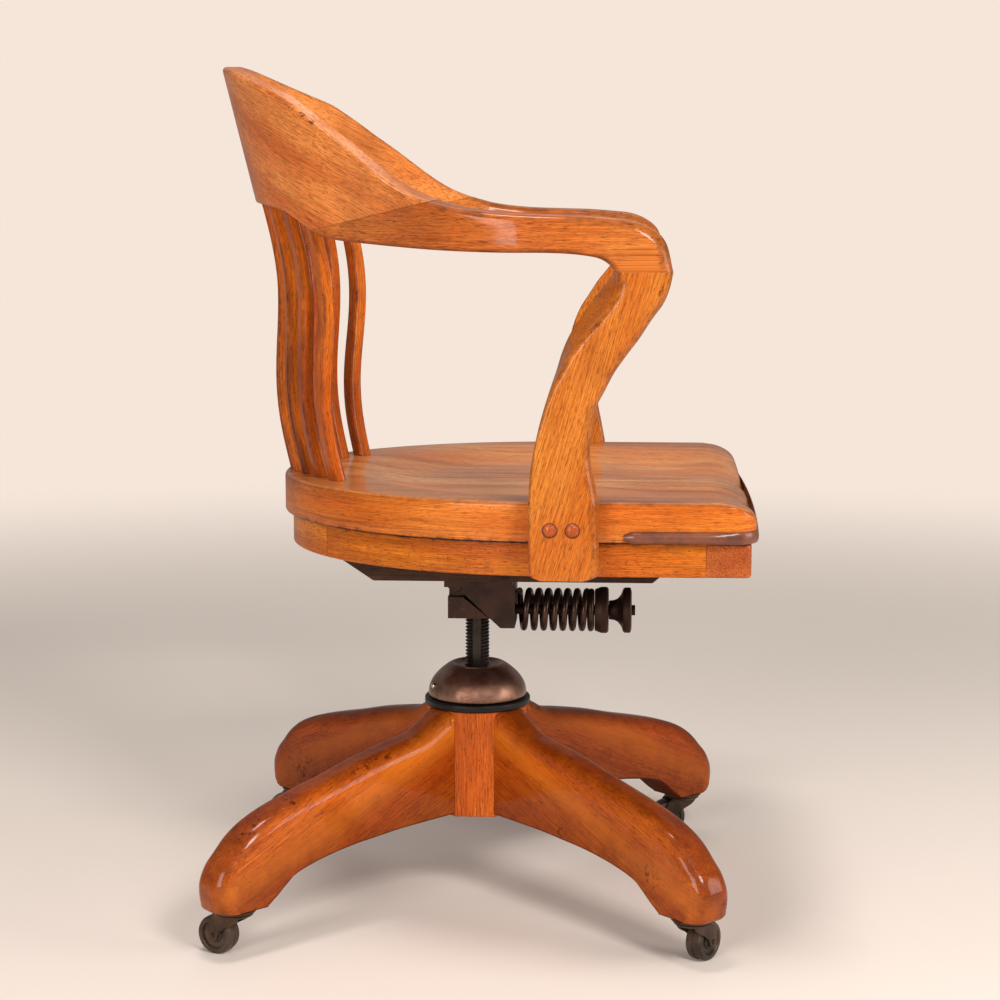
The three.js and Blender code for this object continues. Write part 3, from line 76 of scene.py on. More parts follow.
SEAT_HALF, SEAT_BACK, SEAT_WAIST, SEAT_FRONT, SEAT_BOW, SEAT_CORNER = 250.0, 280.5, 80.0, 285.0, 5.0, 24.0
SEAT_REAR = SEAT_BACK - SEAT_WAIST
DISH_Y, DISH_DEPTH, DISH_AHEAD, FRONT_ROLL, ROLL_DEPTH, THIGH_DEPTH = -60.0, 11.0, 420.0, 45.0, 27.0, 5.0
BEARER_SIDES, BEARER_REAR, BEARER_FRONT, BEARER_SLANT = (48.0, 84.0), 140.0, -215.0, 26.0
BEAD_PROUD, BEAD_START = 6.0, -153.0
ARM_TOP = SEAT_TOP + 269.0
ARM_DEPTH, ARM_WIDTH, ARM_SPREAD, ARM_REACH, ARM_DROP = 36.0, 46.0, 279.0, 198.0, 53.5
ARM_UNDER = ARM_TOP - ARM_DEPTH
ARM_SEAM = ARM_TOP - ARM_DROP
ARM_MIDDLE = ARM_SPREAD - ARM_WIDTH / 2
SCARF_Y, SCARF_UP, SCARF_RUN, SCARF_RISE = 140.0, 20.0, 120.0, 28.0
# The posts end a hairline below the arms, so that no light shows between them
POST_FOOT, HAIRLINE = SEAT_TOP - 70.0, 0.03
PLUG_REACHES, PLUG_DROP = (86.0, 107.0), 22.5
CREST_RISE, CREST_SILL, CREST_THICK, CREST_CENTRE = 145.0, 43.0, 23.7, 32.0
CREST_FOOT, CREST_HEAD = 183.0, 216.0
SLATS, SLAT_HALF, SLAT_DEEP, SLAT_SWAY = 9, 9.0, 6.5, 6.5


# ---- Curves and meshes

def lerp(a, b, t):
    return a + (b - a) * t


def smooth(t):
    t = min(max(t, 0.0), 1.0)
    return t * t * (3 - 2 * t)


def spline(rows, place):
    """A Catmull-Rom value between rows of numbers, at a place counted in rows."""
    last = len(rows) - 1
    i = min(int(place), last - 1)
    t = place - i
    p1, p2 = rows[i], rows[i + 1]
    p0 = rows[i - 1] if i > 0 else [2 * a - b for a, b in zip(p1, p2)]
    p3 = rows[i + 2] if i + 2 <= last else [2 * b - a for a, b in zip(p1, p2)]
    return [0.5 * (2 * b + (c - a) * t + (2 * a - 5 * b + 4 * c - d) * t * t + (3 * b - a - 3 * c + d) * t ** 3)
            for a, b, c, d in zip(p0, p1, p2, p3)]


def dense(rows, per):
    """Rows of numbers with smooth ones between them."""
    return [spline(rows, k / per) for k in range((len(rows) - 1) * per + 1)]


def arc(centre, radius, start, end, steps):
    turns = [radians(lerp(start, end, k / steps)) for k in range(steps + 1)]
    return [(centre[0] + radius * cos(turn), centre[1] + radius * sin(turn)) for turn in turns]


def rounded(corners, sizes, steps, sides=1):
    """A four-cornered section with its corners rounded. Gives (point, on a corner) pairs."""
    out = []
    for i, corner in enumerate(corners):
        n = (i + 1) % len(corners)
        before, after = corners[i - 1] - corner, corners[n] - corner
        size = min(sizes[i], before.length * 0.49, after.length * 0.49)
        a, b = before.normalized() * size, after.normalized() * size
        for k in range(steps + 1):
            turn = pi / 2 * k / steps
            out.append((corner + a * (1 - sin(turn)) + b * (1 - cos(turn)), sin(2 * turn)))
        end = corners[n] - after.normalized() * min(sizes[n], after.length * 0.49)
        out += [((corner + b).lerp(end, k / sides), 0.0) for k in range(1, sides)]
    return out


def skin(rings, closed_ring=True, caps=(True, True)):
    """Quads between rings of equally many points, and a face over each end."""
    count = len(rings[0])
    points = [p for ring in rings for p in ring]
    faces = []
    for k in range(len(rings) - 1):
        for i in range(count if closed_ring else count - 1):
            j = (i + 1) % count
            faces.append((k * count + i, k * count + j, (k + 1) * count + j, (k + 1) * count + i))
    if caps[0]:
        faces.append(tuple(reversed(range(count))))
    if caps[1]:
        faces.append(tuple(range((len(rings) - 1) * count, len(rings) * count)))
    return points, faces


def wrap(sides, count):
    """Quads between sides rings of count points, closed both ways."""
    return [(k * count + i, k * count + j, n * count + j, n * count + i)
            for k, n in ((k, (k + 1) % sides) for k in range(sides))
            for i, j in ((i, (i + 1) % count) for i in range(count))]


def paint(mesh, grain=None, wear=None, dirt_and_shade=None):
    """Stores what the wood's material reads. grain is a list or a function of a point and its index."""
    if callable(grain):
        grain = [grain(v.co / MM, v.index) for v in mesh.vertices]
    if grain:
        layer = mesh.attributes.new("grain", "FLOAT_VECTOR", "POINT")
        layer.data.foreach_set("vector", [c * MM for value in grain for c in value])
    for name, values in (("wear", wear), ("dirt_and_shade", dirt_and_shade)):
        if values:
            mesh.attributes.new(name, "FLOAT", "POINT").data.foreach_set("value", values)


def linked(mesh, look, sharp, weighted):
    """The object of a mesh, smooth but for edges sharper than an angle."""
    mesh.shade_smooth()
    mesh.set_sharp_from_angle(angle=radians(sharp))
    mesh.materials.append(look)
    obj = bpy.data.objects.new(mesh.name, mesh)
    bpy.context.scene.collection.objects.link(obj)
    if weighted:
        obj.modifiers.new("normals", "WEIGHTED_NORMAL").keep_sharp = True
    return obj


def attach(obj, body, node):
    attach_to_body(obj, body)
    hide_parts(node)
    return obj


def piece(name, points, faces, look, body, node, grain=None, wear=None, dirt_and_shade=None, sharp=40, weighted=False,
          planes=()):
    """A mesh from points in millimetres. planes, each (point, outward normal), cut it flat and close the cut."""
    mesh = bpy.data.meshes.new(name)
    mesh.from_pydata([tuple(c * MM for c in p) for p in points], [], faces)
    paint(mesh, grain, wear, dirt_and_shade)
    work = bmesh.new()
    work.from_mesh(mesh)
    bmesh.ops.recalc_face_normals(work, faces=work.faces)
    for co, no in planes:
        cut = bmesh.ops.bisect_plane(work, geom=work.verts[:] + work.edges[:] + work.faces[:], dist=1e-6,
                                     plane_co=Vector(co) * MM, plane_no=Vector(no), clear_outer=True)
        edges = [e for e in cut["geom_cut"] if isinstance(e, bmesh.types.BMEdge) and e.is_valid and e.is_boundary]
        if edges:
            bmesh.ops.holes_fill(work, edges=edges, sides=0)
    bmesh.ops.delete(work, geom=[v for v in work.verts if not v.link_faces], context="VERTS")
    bmesh.ops.recalc_face_normals(work, faces=work.faces)
    work.to_mesh(mesh)
    work.free()
    return attach(linked(mesh, look, sharp, weighted), body, node)


def lathe(name, profile, look, body, node, sides=96, place=Matrix(), sharp=35, grain=None):
    """Turns a closed [radius, height] profile about Z, then puts it in place."""
    points = []
    for k in range(sides):
        turn = 2 * pi * k / sides
        points += [place @ Vector((max(r, 0.01) * cos(turn), max(r, 0.01) * sin(turn), z)) for r, z in profile]
    return piece(name, points, wrap(sides, len(profile)), look, body, node, grain, sharp=sharp)


def add(work, points, faces):
    """Adds a solid to a bmesh."""
    verts = [work.verts.new(p) for p in points]
    for face in faces:
        work.faces.new([verts[i] for i in face])
    bmesh.ops.recalc_face_normals(work, faces=work.faces)


def ease(work, edges, width, segments=3):
    bmesh.ops.bevel(work, geom=edges, offset=width, segments=segments, profile=0.5, affect="EDGES",
                    clamp_overlap=True)


def mesh_of(work, name):
    mesh = bpy.data.meshes.new(name)
    work.to_mesh(mesh)
    work.free()
    return mesh


def prism(name, outline, low, high, axis, look, body, node, grain, width, segments=3, square=None):
    """A straight block, its outline swept along an axis, with eased edges except in the plane y = square."""
    work = bmesh.new()
    add(work, *skin([[Vector((w, u, v) if axis == "X" else (u, v, w)) * MM for u, v in outline]
                     for w in (low, high)]))
    ease(work, [e for e in work.edges if square is None or any(abs(v.co.y - square * MM) > 1e-5 for v in e.verts)],
         width * MM, segments)
    mesh = mesh_of(work, name)
    paint(mesh, grain, [0.45] * len(mesh.vertices))
    return attach(linked(mesh, look, 30, True), body, node)


def recolour(node, look, width=0.0, segments=3):
    """Gives a carried-over node its look and, where there is a width, rounds its edges."""
    obj = NODES[node]
    obj.data.materials.clear()
    obj.data.materials.append(look)
    if width:
        bevel = obj.modifiers.new("edges", "BEVEL")
        bevel.width, bevel.segments = width * MM, segments
        bevel.limit_method, bevel.angle_limit = "ANGLE", radians(30)


# ---- Materials

class Nodes:
    """A small builder for a material's or a world's node tree."""

    def __init__(self, owner, shader="ShaderNodeBsdfPrincipled", output="ShaderNodeOutputMaterial"):
        owner.use_nodes = True
        self.owner, self.tree = owner, owner.node_tree
        self.tree.nodes.clear()
        self.shader = self.add(shader)
        self.link(self.shader.outputs[0], self.add(output).inputs["Surface"])
        self.position = self.add("ShaderNodeTexCoord").outputs["Object"]

    def add(self, kind, **settings):
        node = self.tree.nodes.new(kind)
        for key, value in settings.items():
            setattr(node, key, value)
        return node

    def link(self, source, target):
        """Puts a number, a colour or another node's output into a socket."""
        if isinstance(source, (int, float, tuple, list)):
            target.default_value = source
        else:
            self.tree.links.new(source, target)

    def set(self, **values):
        """Sets the shader's inputs, their names written with _ for a space."""
        for key, value in values.items():
            self.link(value, self.shader.inputs[key.replace("_", " ")])

    def math(self, operation, a, b=0.0, clamp=False):
        node = self.add("ShaderNodeMath", operation=operation, use_clamp=clamp)
        self.link(a, node.inputs[0])
        self.link(b, node.inputs[1])
        return node.outputs[0]

    def plus(self, a, b, clamp=False):
        return self.math("ADD", a, b, clamp)

    def minus(self, a, b, clamp=False):
        return self.math("SUBTRACT", a, b, clamp)

    def times(self, a, b):
        return self.math("MULTIPLY", a, b)

    def larger(self, a, b):
        return self.math("MAXIMUM", a, b)

    def size(self, value):
        return self.math("ABSOLUTE", value)

    def hypotenuse(self, a, b):
        return self.math("SQRT", self.plus(self.times(a, a), self.times(b, b)))

    def vector(self, operation, a, b):
        node = self.add("ShaderNodeVectorMath", operation=operation)
        self.link(a, node.inputs[0])
        self.link(b, node.inputs[1])
        return node.outputs[0]

    def split(self, vector):
        node = self.add("ShaderNodeSeparateXYZ")
        self.link(vector, node.inputs[0])
        return node.outputs

    def attribute(self, name, output="Fac"):
        return self.add("ShaderNodeAttribute", attribute_name=name).outputs[output]

    def noise(self, vector, scale, detail=2.0, roughness=0.5):
        node = self.add("ShaderNodeTexNoise")
        for key, value in (("Vector", vector), ("Scale", scale), ("Detail", detail), ("Roughness", roughness)):
            self.link(value, node.inputs[key])
        return node.outputs["Fac"]

    def ramp(self, value, low, high, to_low=0.0, to_high=1.0, ease=True):
        node = self.add("ShaderNodeMapRange", interpolation_type="SMOOTHSTEP" if ease else "LINEAR")
        keys = ("Value", "From Min", "From Max", "To Min", "To Max")
        for key, number in zip(keys, (value, low, high, to_low, to_high)):
            self.link(number, node.inputs[key])
        return node.outputs["Result"]

    def mix(self, factor, a, b, blend="MIX"):
        node = self.add("ShaderNodeMix", data_type="RGBA", blend_type=blend)
        self.link(factor, node.inputs["Factor"])
        for key, value in (("A", a), ("B", b)):
            self.link(value, [s for s in node.inputs if s.name == key and s.type == "RGBA"][0])
        return [s for s in node.outputs if s.type == "RGBA"][0]

    def bump(self, height, distance, strength=1.0, normal=None):
        node = self.add("ShaderNodeBump")
        for key, value in (("Strength", strength), ("Distance", distance), ("Height", height)):
            self.link(value, node.inputs[key])
        if normal is not None:
            self.link(normal, node.inputs["Normal"])
        return node.outputs[0]


def rgb(r, g, b):
    """A linear colour from sRGB numbers out of 255."""
    return (*(c / 3294.6 if c <= 10.31475 else ((c / 255 + 0.055) / 1.055) ** 2.4 for c in (r, g, b)), 1.0)


def dim(colour, share):
    return [c * share for c in colour[:3]] + [1]


def oak(name, light, mid, dark, seed=0.0, pith=(0.11, 0.05), rings=0.0028, gloss=0.34, figure=1.0,
        wear_tint=0.6, boards=None, coat=0.4, stripe=None, button=False, bands=0.3, contact=None, specks=0.64,
        sheen=0.09, rim_tint=0.12):
    """Varnished oak. The grain attribute runs along the fibres in X, and the growth rings lie round the pith.

    boards are the places across the fibres where boards meet, and the seam's width. stripe is a bright band's
    place and width. The height given for the dark line under the seat board marks dirt in the joint and painted
    shade under the board's edge. A button is a small dome."""
    n = Nodes(bpy.data.materials.new(name))
    own = n.attribute("grain", "Vector")
    here = n.vector("ADD", own, (seed * 0.37, seed * 0.11, seed * 0.19))
    _, across, depth = n.split(own)

    def fibres(along, around, detail=3.0, rough=0.5):
        return n.noise(n.vector("MULTIPLY", here, (along, around, around)), 1.0, detail, rough)

    def lay(share, over, blend="MIX"):
        nonlocal colour
        colour = n.mix(share, colour, over, blend)

    # Growth rings, fibres and pores
    sway = n.times(n.minus(fibres(3.5, 11.0), 0.5), 0.06 * figure)
    radius = n.hypotenuse(n.plus(n.plus(across, sway), pith[0]),
                          n.plus(n.plus(depth, n.times(sway, 0.6)), pith[1]))
    jitter = n.times(fibres(16.0, 100.0, 2.0), rings * 0.6)
    phase = n.math("FRACT", n.math("DIVIDE", n.plus(radius, jitter), rings))
    early, late = n.ramp(phase, 0.0, 0.6, 1.0, 0.0), n.ramp(phase, 0.7, 1.0)
    streak = fibres(6.0, 130.0, 3.0, 0.6)
    fibre = fibres(22.0, 900.0, 2.0, 0.6)
    pores = n.ramp(n.plus(fibres(105.0, 1000.0, 2.0, 0.6), n.times(early, 0.06)), 0.56, 0.7)
    colour = n.mix(n.ramp(fibres(4.0, 16.0, 3.0, 0.55), 0.32, 0.68), light, mid)
    lay(n.times(n.plus(n.times(early, 0.7), n.times(late, 0.45)), 0.3 * figure), mid)
    lay(n.ramp(fibres(2.2, 36.0, 3.0, 0.55), 0.46, 0.74, 0.0, bands), dark)
    lay(n.ramp(streak, 0.4, 0.75, 0.0, 0.32), mid)
    lay(n.ramp(streak, 0.55, 0.85, 0.0, 0.3), dark)
    tone = n.plus(n.times(fibre, 0.62), n.times(fibres(180.0, 1300.0, 2.0, 0.7), 0.38))
    lay(1.0, n.mix(n.ramp(tone, 0.36, 0.64, ease=False), (0.66, 0.52, 0.4, 1), (1.26, 1.32, 1.34, 1)), "MULTIPLY")
    lay(n.times(pores, 0.6), dim(dark, 0.4))
    if stripe:
        bright = n.ramp(n.size(n.plus(n.minus(across, stripe[0]), sway)), 0.0, stripe[1], 1.0, 0.0)
        lay(n.times(bright, 0.5), [min(1, light[0] * 1.15), light[1] * 1.35, light[2] * 1.3, 1])
    if boards:
        edges, groove = boards
        shades = [n.times(n.math("GREATER_THAN", across, edge * MM), shade)
                  for edge, shade in zip(edges, (0.3, -0.42, 0.36, -0.24))]
        seams = [n.ramp(n.size(n.minus(across, edge * MM)), 0.0, groove * MM, 1.0, 0.0) for edge in edges]
        lay(n.plus(reduce(n.plus, shades), 0.12, True), mid)
        lay(n.times(reduce(n.larger, seams), 0.55), dim(dark, 0.3))

    # Age and painted shade: broad patches, worn edges that on the legs' tops are also painted shade, specks,
    # chips, a dark line at the seat board that is dirt and painted shade, and dirt with painted shade on
    # undersides
    lay(n.ramp(n.noise(n.position, 9.0, 4.0, 0.6), 0.5, 0.8, 0.0, 0.45), dark)
    worn_and_shaded, dirty_and_shaded = n.attribute("wear"), n.attribute("dirt_and_shade")
    ragged = n.noise(n.position, 48.0, 5.0, 0.7)
    # Darker at worn places: real wear, and on the legs' tops painted shade.
    lay(n.times(worn_and_shaded, rim_tint), dark)
    lay(n.times(n.times(worn_and_shaded, n.ramp(ragged, 0.3, 0.72)), wear_tint), dim(dark, 0.6))
    speck = n.add("ShaderNodeTexVoronoi", feature="F1")
    n.link(n.vector("ADD", n.position, (seed * 0.13, seed * 0.29, seed * 0.41)), speck.inputs["Vector"])
    n.link(210.0, speck.inputs["Scale"])
    dots = n.times(n.ramp(speck.outputs["Distance"], 0.08, 0.2, 1.0, 0.0),
                   n.ramp(n.noise(n.position, 26.0, 2.0, 0.5), specks - 0.04, specks + 0.03))
    chips = n.times(n.ramp(n.noise(n.position, 170.0, 3.0, 0.6), 0.55, 0.6),
                    n.ramp(n.noise(n.position, 17.0, 2.0, 0.5), 0.6, 0.66))
    lay(n.times(n.larger(dots, n.times(chips, n.ramp(worn_and_shaded, 0.3, 0.6))), 0.75), dim(dark, 0.3))
    # A dark line and smudge where the board meets the aprons: dirt in the joint, and painted shade under the
    # board's edge.
    if contact is not None:
        off = n.size(n.minus(n.split(n.position)[2], contact * MM))
        smudge_and_shade = n.times(n.ramp(off, 0.001, 0.006, 0.6, 0.0), n.ramp(ragged, 0.45, 0.65))
        lay(n.plus(n.ramp(off, 0.0007, 0.0022, 0.9, 0.0), smudge_and_shade, True), dim(dark, 0.25))
    # Dark at dirtied places, which on the legs' undersides is also painted shade.
    lay(n.times(dirty_and_shaded, 0.75), dim(dark, 0.28))

    # Varnish over the relief
    rough = n.plus(n.times(n.noise(n.position, 34.0, 3.0, 0.6), 0.16), gloss - 0.08)
    wobble = n.noise(n.position, 30.0, 2.0, 0.5)
    fine = n.bump(n.minus(n.times(fibre, 0.5), pores), 0.00012, 0.5)
    wide, shell = n.bump(wobble, 0.0009, 0.3, fine), n.bump(wobble, 0.0009, 0.3)
    if button:
        out = n.math("DIVIDE", n.hypotenuse(across, depth), 0.0066)
        dome = n.math("SQRT", n.minus(1.0, n.times(n.times(out, out), 0.94), True))
        wide, shell = n.bump(dome, 0.0032, 1.0, wide), n.bump(dome, 0.0032, 1.0)
    n.set(Base_Color=colour, Roughness=n.plus(rough, n.times(dirty_and_shaded, 0.35)), Normal=wide, IOR=1.45,
          Specular_IOR_Level=0.1, Coat_Weight=n.times(n.minus(1.0, dirty_and_shaded), coat), Coat_Roughness=sheen,
          Coat_IOR=1.45, Coat_Normal=shell)
    return n.owner


def metal(name, base, second, metallic=0.85, rough=0.4, grainy=0.4, scale=420.0, rust=None, rust_share=0.0,
          coat=0.0, depth=0.00012):
    """Metal or paint in patches of two sRGB colours, with a fine grit and spots of rust."""
    n = Nodes(bpy.data.materials.new(name))
    base = rgb(*base)
    patches, grit = n.noise(n.position, 45.0, 4.0, 0.6), n.noise(n.position, scale, 3.0, 0.65)
    colour = n.mix(n.ramp(patches, 0.35, 0.7), base, rgb(*second))
    colour = n.mix(n.ramp(grit, 0.5, 0.8, 0.0, 0.35), colour, dim(base, 0.4))
    if rust:
        bare = n.ramp(n.noise(n.position, 130.0, 5.0, 0.7), 0.68 - rust_share, 0.78 - rust_share)
        colour = n.mix(bare, colour, rgb(*rust))
        metallic = n.minus(metallic, n.times(bare, metallic * 0.8))
    n.set(Base_Color=colour, Metallic=metallic, Roughness=n.plus(n.times(patches, 0.22), rough - 0.11),
          Normal=n.bump(n.plus(grit, n.times(patches, 0.5)), depth, grainy), Coat_Weight=coat, Coat_Roughness=0.12)
    return n.owner


TONES = {  # The light, middle and dark wood of each piece, in sRGB
    "post": ((214, 136, 54), (190, 102, 32), (112, 50, 14)),
    "crest": ((238, 152, 78), (214, 114, 50), (124, 52, 16)),
    "arm": ((222, 138, 64), (188, 98, 36), (98, 40, 12)),
    # The seat's top is paler and tanner than its rim: its real figure with a painted sheen.
    "seat": ((240, 172, 106), (206, 122, 62), (126, 62, 32)),
    "apron": ((230, 138, 36), (192, 94, 20), (110, 44, 8)),
    "rim": ((230, 138, 52), (200, 100, 30), (112, 46, 12)),
    "endgrain": ((204, 114, 54), (174, 84, 38), (110, 44, 16)),
    "leg": ((206, 106, 28), (182, 80, 14), (104, 34, 6)),
    # The far legs: the legs' own tone made darker, a painted shade for the light that falls off.
    "far_shaded": ((180, 86, 20), (154, 64, 10), (90, 30, 6)),
    "hub": ((210, 104, 28), (184, 80, 14), (110, 38, 4)),
    "slat": ((222, 120, 34), (184, 82, 16), (90, 34, 6)),
    "plug": ((206, 110, 52), (168, 76, 30), (96, 38, 14)),
}
oaks = {}


def wood(tone, seed, **more):
    """The oak of one piece, made once. The seed sets its figure."""
    if (tone, seed) not in oaks:
        colours = [rgb(*colour) for colour in TONES[tone]]
        oaks[tone, seed] = oak(f"oak_{tone}_{seed}", *colours, seed=seed, **more)
    return oaks[tone, seed]


cast_iron = metal("cast_iron", (60, 34, 22), (42, 25, 17), 0.6, 0.5, 0.8, 330.0, (96, 56, 36), 0.06, depth=0.0004)
spring_steel = metal("spring_steel", (80, 58, 48), (54, 39, 32), 0.85, 0.36, 0.25, 420.0, (74, 52, 40), 0.02)
thread_steel = metal("thread_steel", (58, 50, 45), (38, 33, 30), 0.85, 0.36, 0.25, 500.0)
black_iron = metal("black_iron", (40, 37, 37), (28, 26, 26), 0.7, 0.42, 0.4, 360.0)
gunmetal = metal("gunmetal", (156, 118, 100), (108, 74, 58), 0.9, 0.24, 1.0, 950.0, (80, 52, 38), 0.03,
                 depth=0.00035)
caster_iron = metal("caster_iron", (84, 64, 48), (50, 38, 30), 0.7, 0.4, 0.6, 300.0, (104, 72, 50), 0.06,
                    depth=0.0003)
wheel_steel = metal("wheel_steel", (84, 66, 52), (46, 36, 30), 0.45, 0.42, 0.5, 260.0, (120, 92, 70), 0.03)
bright_steel = metal("bright_steel", (214, 204, 192), (176, 164, 150), 1.0, 0.22, 0.2, 300.0)
bead_brown = metal("bead_brown", (124, 64, 36), (88, 42, 24), 0.0, 0.36, 0.6, 240.0, coat=0.3)
# The dark ring round the plugs: painted shade for their grooves.
groove_shade = metal("groove_shade", (66, 30, 14), (50, 22, 10), 0.0, 0.6, 0.3, 300.0)
stained = oak("stained_wood", rgb(84, 56, 40), rgb(66, 42, 30), rgb(34, 22, 15), seed=7.0, gloss=0.5, coat=0.1)


# ---- Base

def leg_outline():
    """(Point, edge radius, dirt and painted shade below) over the leg's top, round its toe and back below, and the
    toe's row.
    """
    top_shares = [
        [0, 1], [0.018, 1], [0.065, 0.948], [0.129, 0.884], [0.226, 0.846], [0.363, 0.791], [0.501, 0.721],
        [0.631, 0.66], [0.745, 0.599], [0.832, 0.532], [0.893, 0.455], [0.936, 0.372], [0.973, 0.295],
        [0.997, 0.199], [1, 0.109], [0.993, 0.026]]
    under_shares = [
        [0.79, 0.022], [0.76, 0.064], [0.723, 0.122], [0.686, 0.17], [0.606, 0.215], [0.519, 0.247],
        [0.429, 0.269], [0.336, 0.282], [0.245, 0.295], [0.145, 0.301]]
    run, rise = LEG_REACH - LEG_FACE, HUB_TOP - FIT - 0.6 - SOLE_Z
    top, under = ([[LEG_FACE + along * run, SOLE_Z + up * rise] for along, up in dense(shares, 5)]
                  for shares in (top_shares, under_shares))
    top[0][0] = LEG_FACE + FIT
    toe = LEG_REACH - TOE_LIP
    radii = [9.0, 10.5, 12.5, 14.5, 15.8] + [16.5] * (len(top) - 5)
    line = [(p, radius, 0.0) for p, radius in zip(top, radii)]
    line += [([lerp(top[-1][0], toe, 0.6), SOLE_Z + 1.6], 16.5, 0.0), ([toe - 0.6, SOLE_Z + 0.5], 16.9, 0.4),
             ([toe - 1.2, SOLE_Z], 17.0, 1.0), ([toe - 18.5, SOLE_Z], 1.0, 1.0),
             ([toe - SOLE_LENGTH * 0.7, SOLE_Z], 1.4, 1.0), ([toe - SOLE_LENGTH + 0.6, SOLE_Z], 1.6, 1.0),
             ([toe - SOLE_LENGTH, SOLE_Z + 0.8], 1.6, 1.0)]
    line += [(p, 2.0, 1.0) for p in under]
    line.append(([LEG_FACE + FIT, HUB_BOTTOM + 3.0], 1.8, 1.0))
    return line, len(top) + 2


def build_leg(name, turn, seed):
    line, toe = leg_outline()
    count = len(line)
    normals = []
    for i in range(count):
        a, b = line[max(i - 1, 0)][0], line[min(i + 1, count - 1)][0]
        d = Vector((b[0] - a[0], b[1] - a[1])).normalized()
        normals.append(Vector((d.y, -d.x)))
    normals[0], normals[-1], normals[toe + 1] = Vector((0, -1)), Vector((0, 1)), Vector((0, 1))
    normals[toe - 2:toe + 1] = [Vector((-1, 0))] * 3
    steps = 9
    rings, wears_and_shades, dirt_and_shades = [], [], []
    for side in (-1, 1):
        for k in range(steps, -1, -1) if side < 0 else range(steps + 1):
            theta = pi / 2 * k / steps
            ring = []
            for place, ((p, size, under), out) in enumerate(zip(line, normals)):
                back = size * (1 - cos(theta))
                root = LEG_FACE + FIT + (0.04 * place if place < count / 2 else 0.0)
                ring.append(Vector((side * (LEG_THICK / 2 - size + size * sin(theta)),
                                    max(p[0] + out.x * back, root), p[1] + out.y * back)))
                low = smooth((p[0] - 268) / 60) * 0.35
                # Darkest along the leg's top: wear, and painted shade where the top catches more light than the
                # sides.
                wears_and_shades.append(min(1.0, 0.06 + 0.9 * cos(theta) ** 1.5 + low) if size > 4 else 0.6)
                # Undersides and soles get dark: dirt, and painted shade under the leg.
                dirt_and_shades.append(under if k < steps else under * 0.35)
            rings.append(ring)
    points, faces = skin(rings, closed_ring=False)
    ends = range(0, len(points), count)
    faces.append(tuple([k for k in ends] + [k + count - 1 for k in reversed(ends)]))
    spin = Matrix.Rotation(radians(turn), 3, "Z")
    # Legs on the far side take a darker copy of the leg's tone, a painted shade.
    slope, far_shaded = radians(-24), sin(radians(turn)) < 0

    def grain(co, index):
        _, y, z = points[index]
        return (y * cos(slope) + z * sin(slope), z * cos(slope) - y * sin(slope), points[index].x)
    piece(f"leg_{name}_wood", [spin @ p for p in points], faces,
          wood("far_shaded" if far_shaded else "leg", seed, pith=(0.02, 0.1), stripe=(0.196, 0.024), coat=0.2 if far_shaded else 0.4,
               rim_tint=0.6),
          "base", f"leg_{name}", grain, wears_and_shades, dirt_and_shades, 34, True)


for seed, (name, (turn, _)) in enumerate(LEGS.items()):
    build_leg(name, turn, seed + 1)


def build_hub():
    """The eight-sided hub with its eased edges, round the bore for the socket tube."""
    a, b = HUB_FACE / 2, HUB_APOTHEM
    corners = [Vector(p) for p in ((a, -b), (b, -a), (b, a), (a, b), (-a, b), (-b, a), (-b, -a), (-a, -b))]
    eased = []
    for before, corner, after in zip(corners[-1:] + corners, corners, corners[1:] + corners[:1]):
        eased += [corner + (end - corner).normalized() * HUB_CHAMFER for end in (before, after)]
    turns = sorted([atan2(p.y, p.x) for p in eased] + [2 * pi * (k + 0.5) / 64 - pi for k in range(64)])
    points = []
    for turn in turns:
        way = Vector((cos(turn), sin(turn)))
        reach = []
        for a, b in zip(eased, eased[1:] + eased[:1]):
            out = Vector((b.y - a.y, a.x - b.x)).normalized()
            if abs(out.dot(way)) > 1e-6 and out.dot(a) / out.dot(way) > 0:
                reach.append(out.dot(a) / out.dot(way))
        wide = min(reach)
        for r, z in ((HUB_BORE, HUB_BOTTOM), (wide - HUB_CHAMFER, HUB_BOTTOM), (wide, HUB_BOTTOM + HUB_CHAMFER),
                     (wide, HUB_TOP - HUB_CHAMFER), (wide - HUB_CHAMFER, HUB_TOP), (HUB_BORE, HUB_TOP)):
            points.append(Vector((r * way.x, r * way.y, z)))
    piece("hub_block_wood", points, wrap(len(turns), 6), wood("hub", 9, pith=(0.06, 0.09), coat=0.25), "base",
          "hub_block", lambda co, i: (co.z, co.x, co.y), [0.3] * len(points), sharp=30)


build_hub()
lathe("flange_plate_steel",
      [(FLANGE_BORE, HUB_TOP + FIT), (FLANGE_RADIUS - 1.4, HUB_TOP + FIT), (FLANGE_RADIUS, HUB_TOP + 1.7),
       (FLANGE_RADIUS, FLANGE_TOP - 2.4), *arc((FLANGE_RADIUS - 2.4, FLANGE_TOP - 2.4), 2.4, 0, 90, 6),
       (FLANGE_BORE, FLANGE_TOP)],
      black_iron, "base", "flange_plate")


# ---- Casters

def horn_cheek():
    """One cheek from the side, swept from under the disc down to a round boss on the axle."""
    top, (y, z) = SOLE_Z - PLATE_THICK - 2 * FIT - 1.0, (CASTER_TRAIL, WHEEL_RADIUS)
    rear = dense([[-12.5, top], [-11.5, top - 4.5], [-6.0, top - 9.5], [3.0, top - 14.5], [10.5, top - 20.5],
                  [y - 6.0, z - 1.5]], 4)
    front = dense([[y + 5.9, z + 2.0], [y + 5.6, top - 13.0], [y + 2.5, top - 6.0], [y - 1.5, top - 1.5],
                   [15.0, top]], 4)
    boss = [(y + AXLE_BOSS * cos(radians(a)), z + AXLE_BOSS * sin(radians(a))) for a in range(200, 371, 15)]
    return rear + boss + front


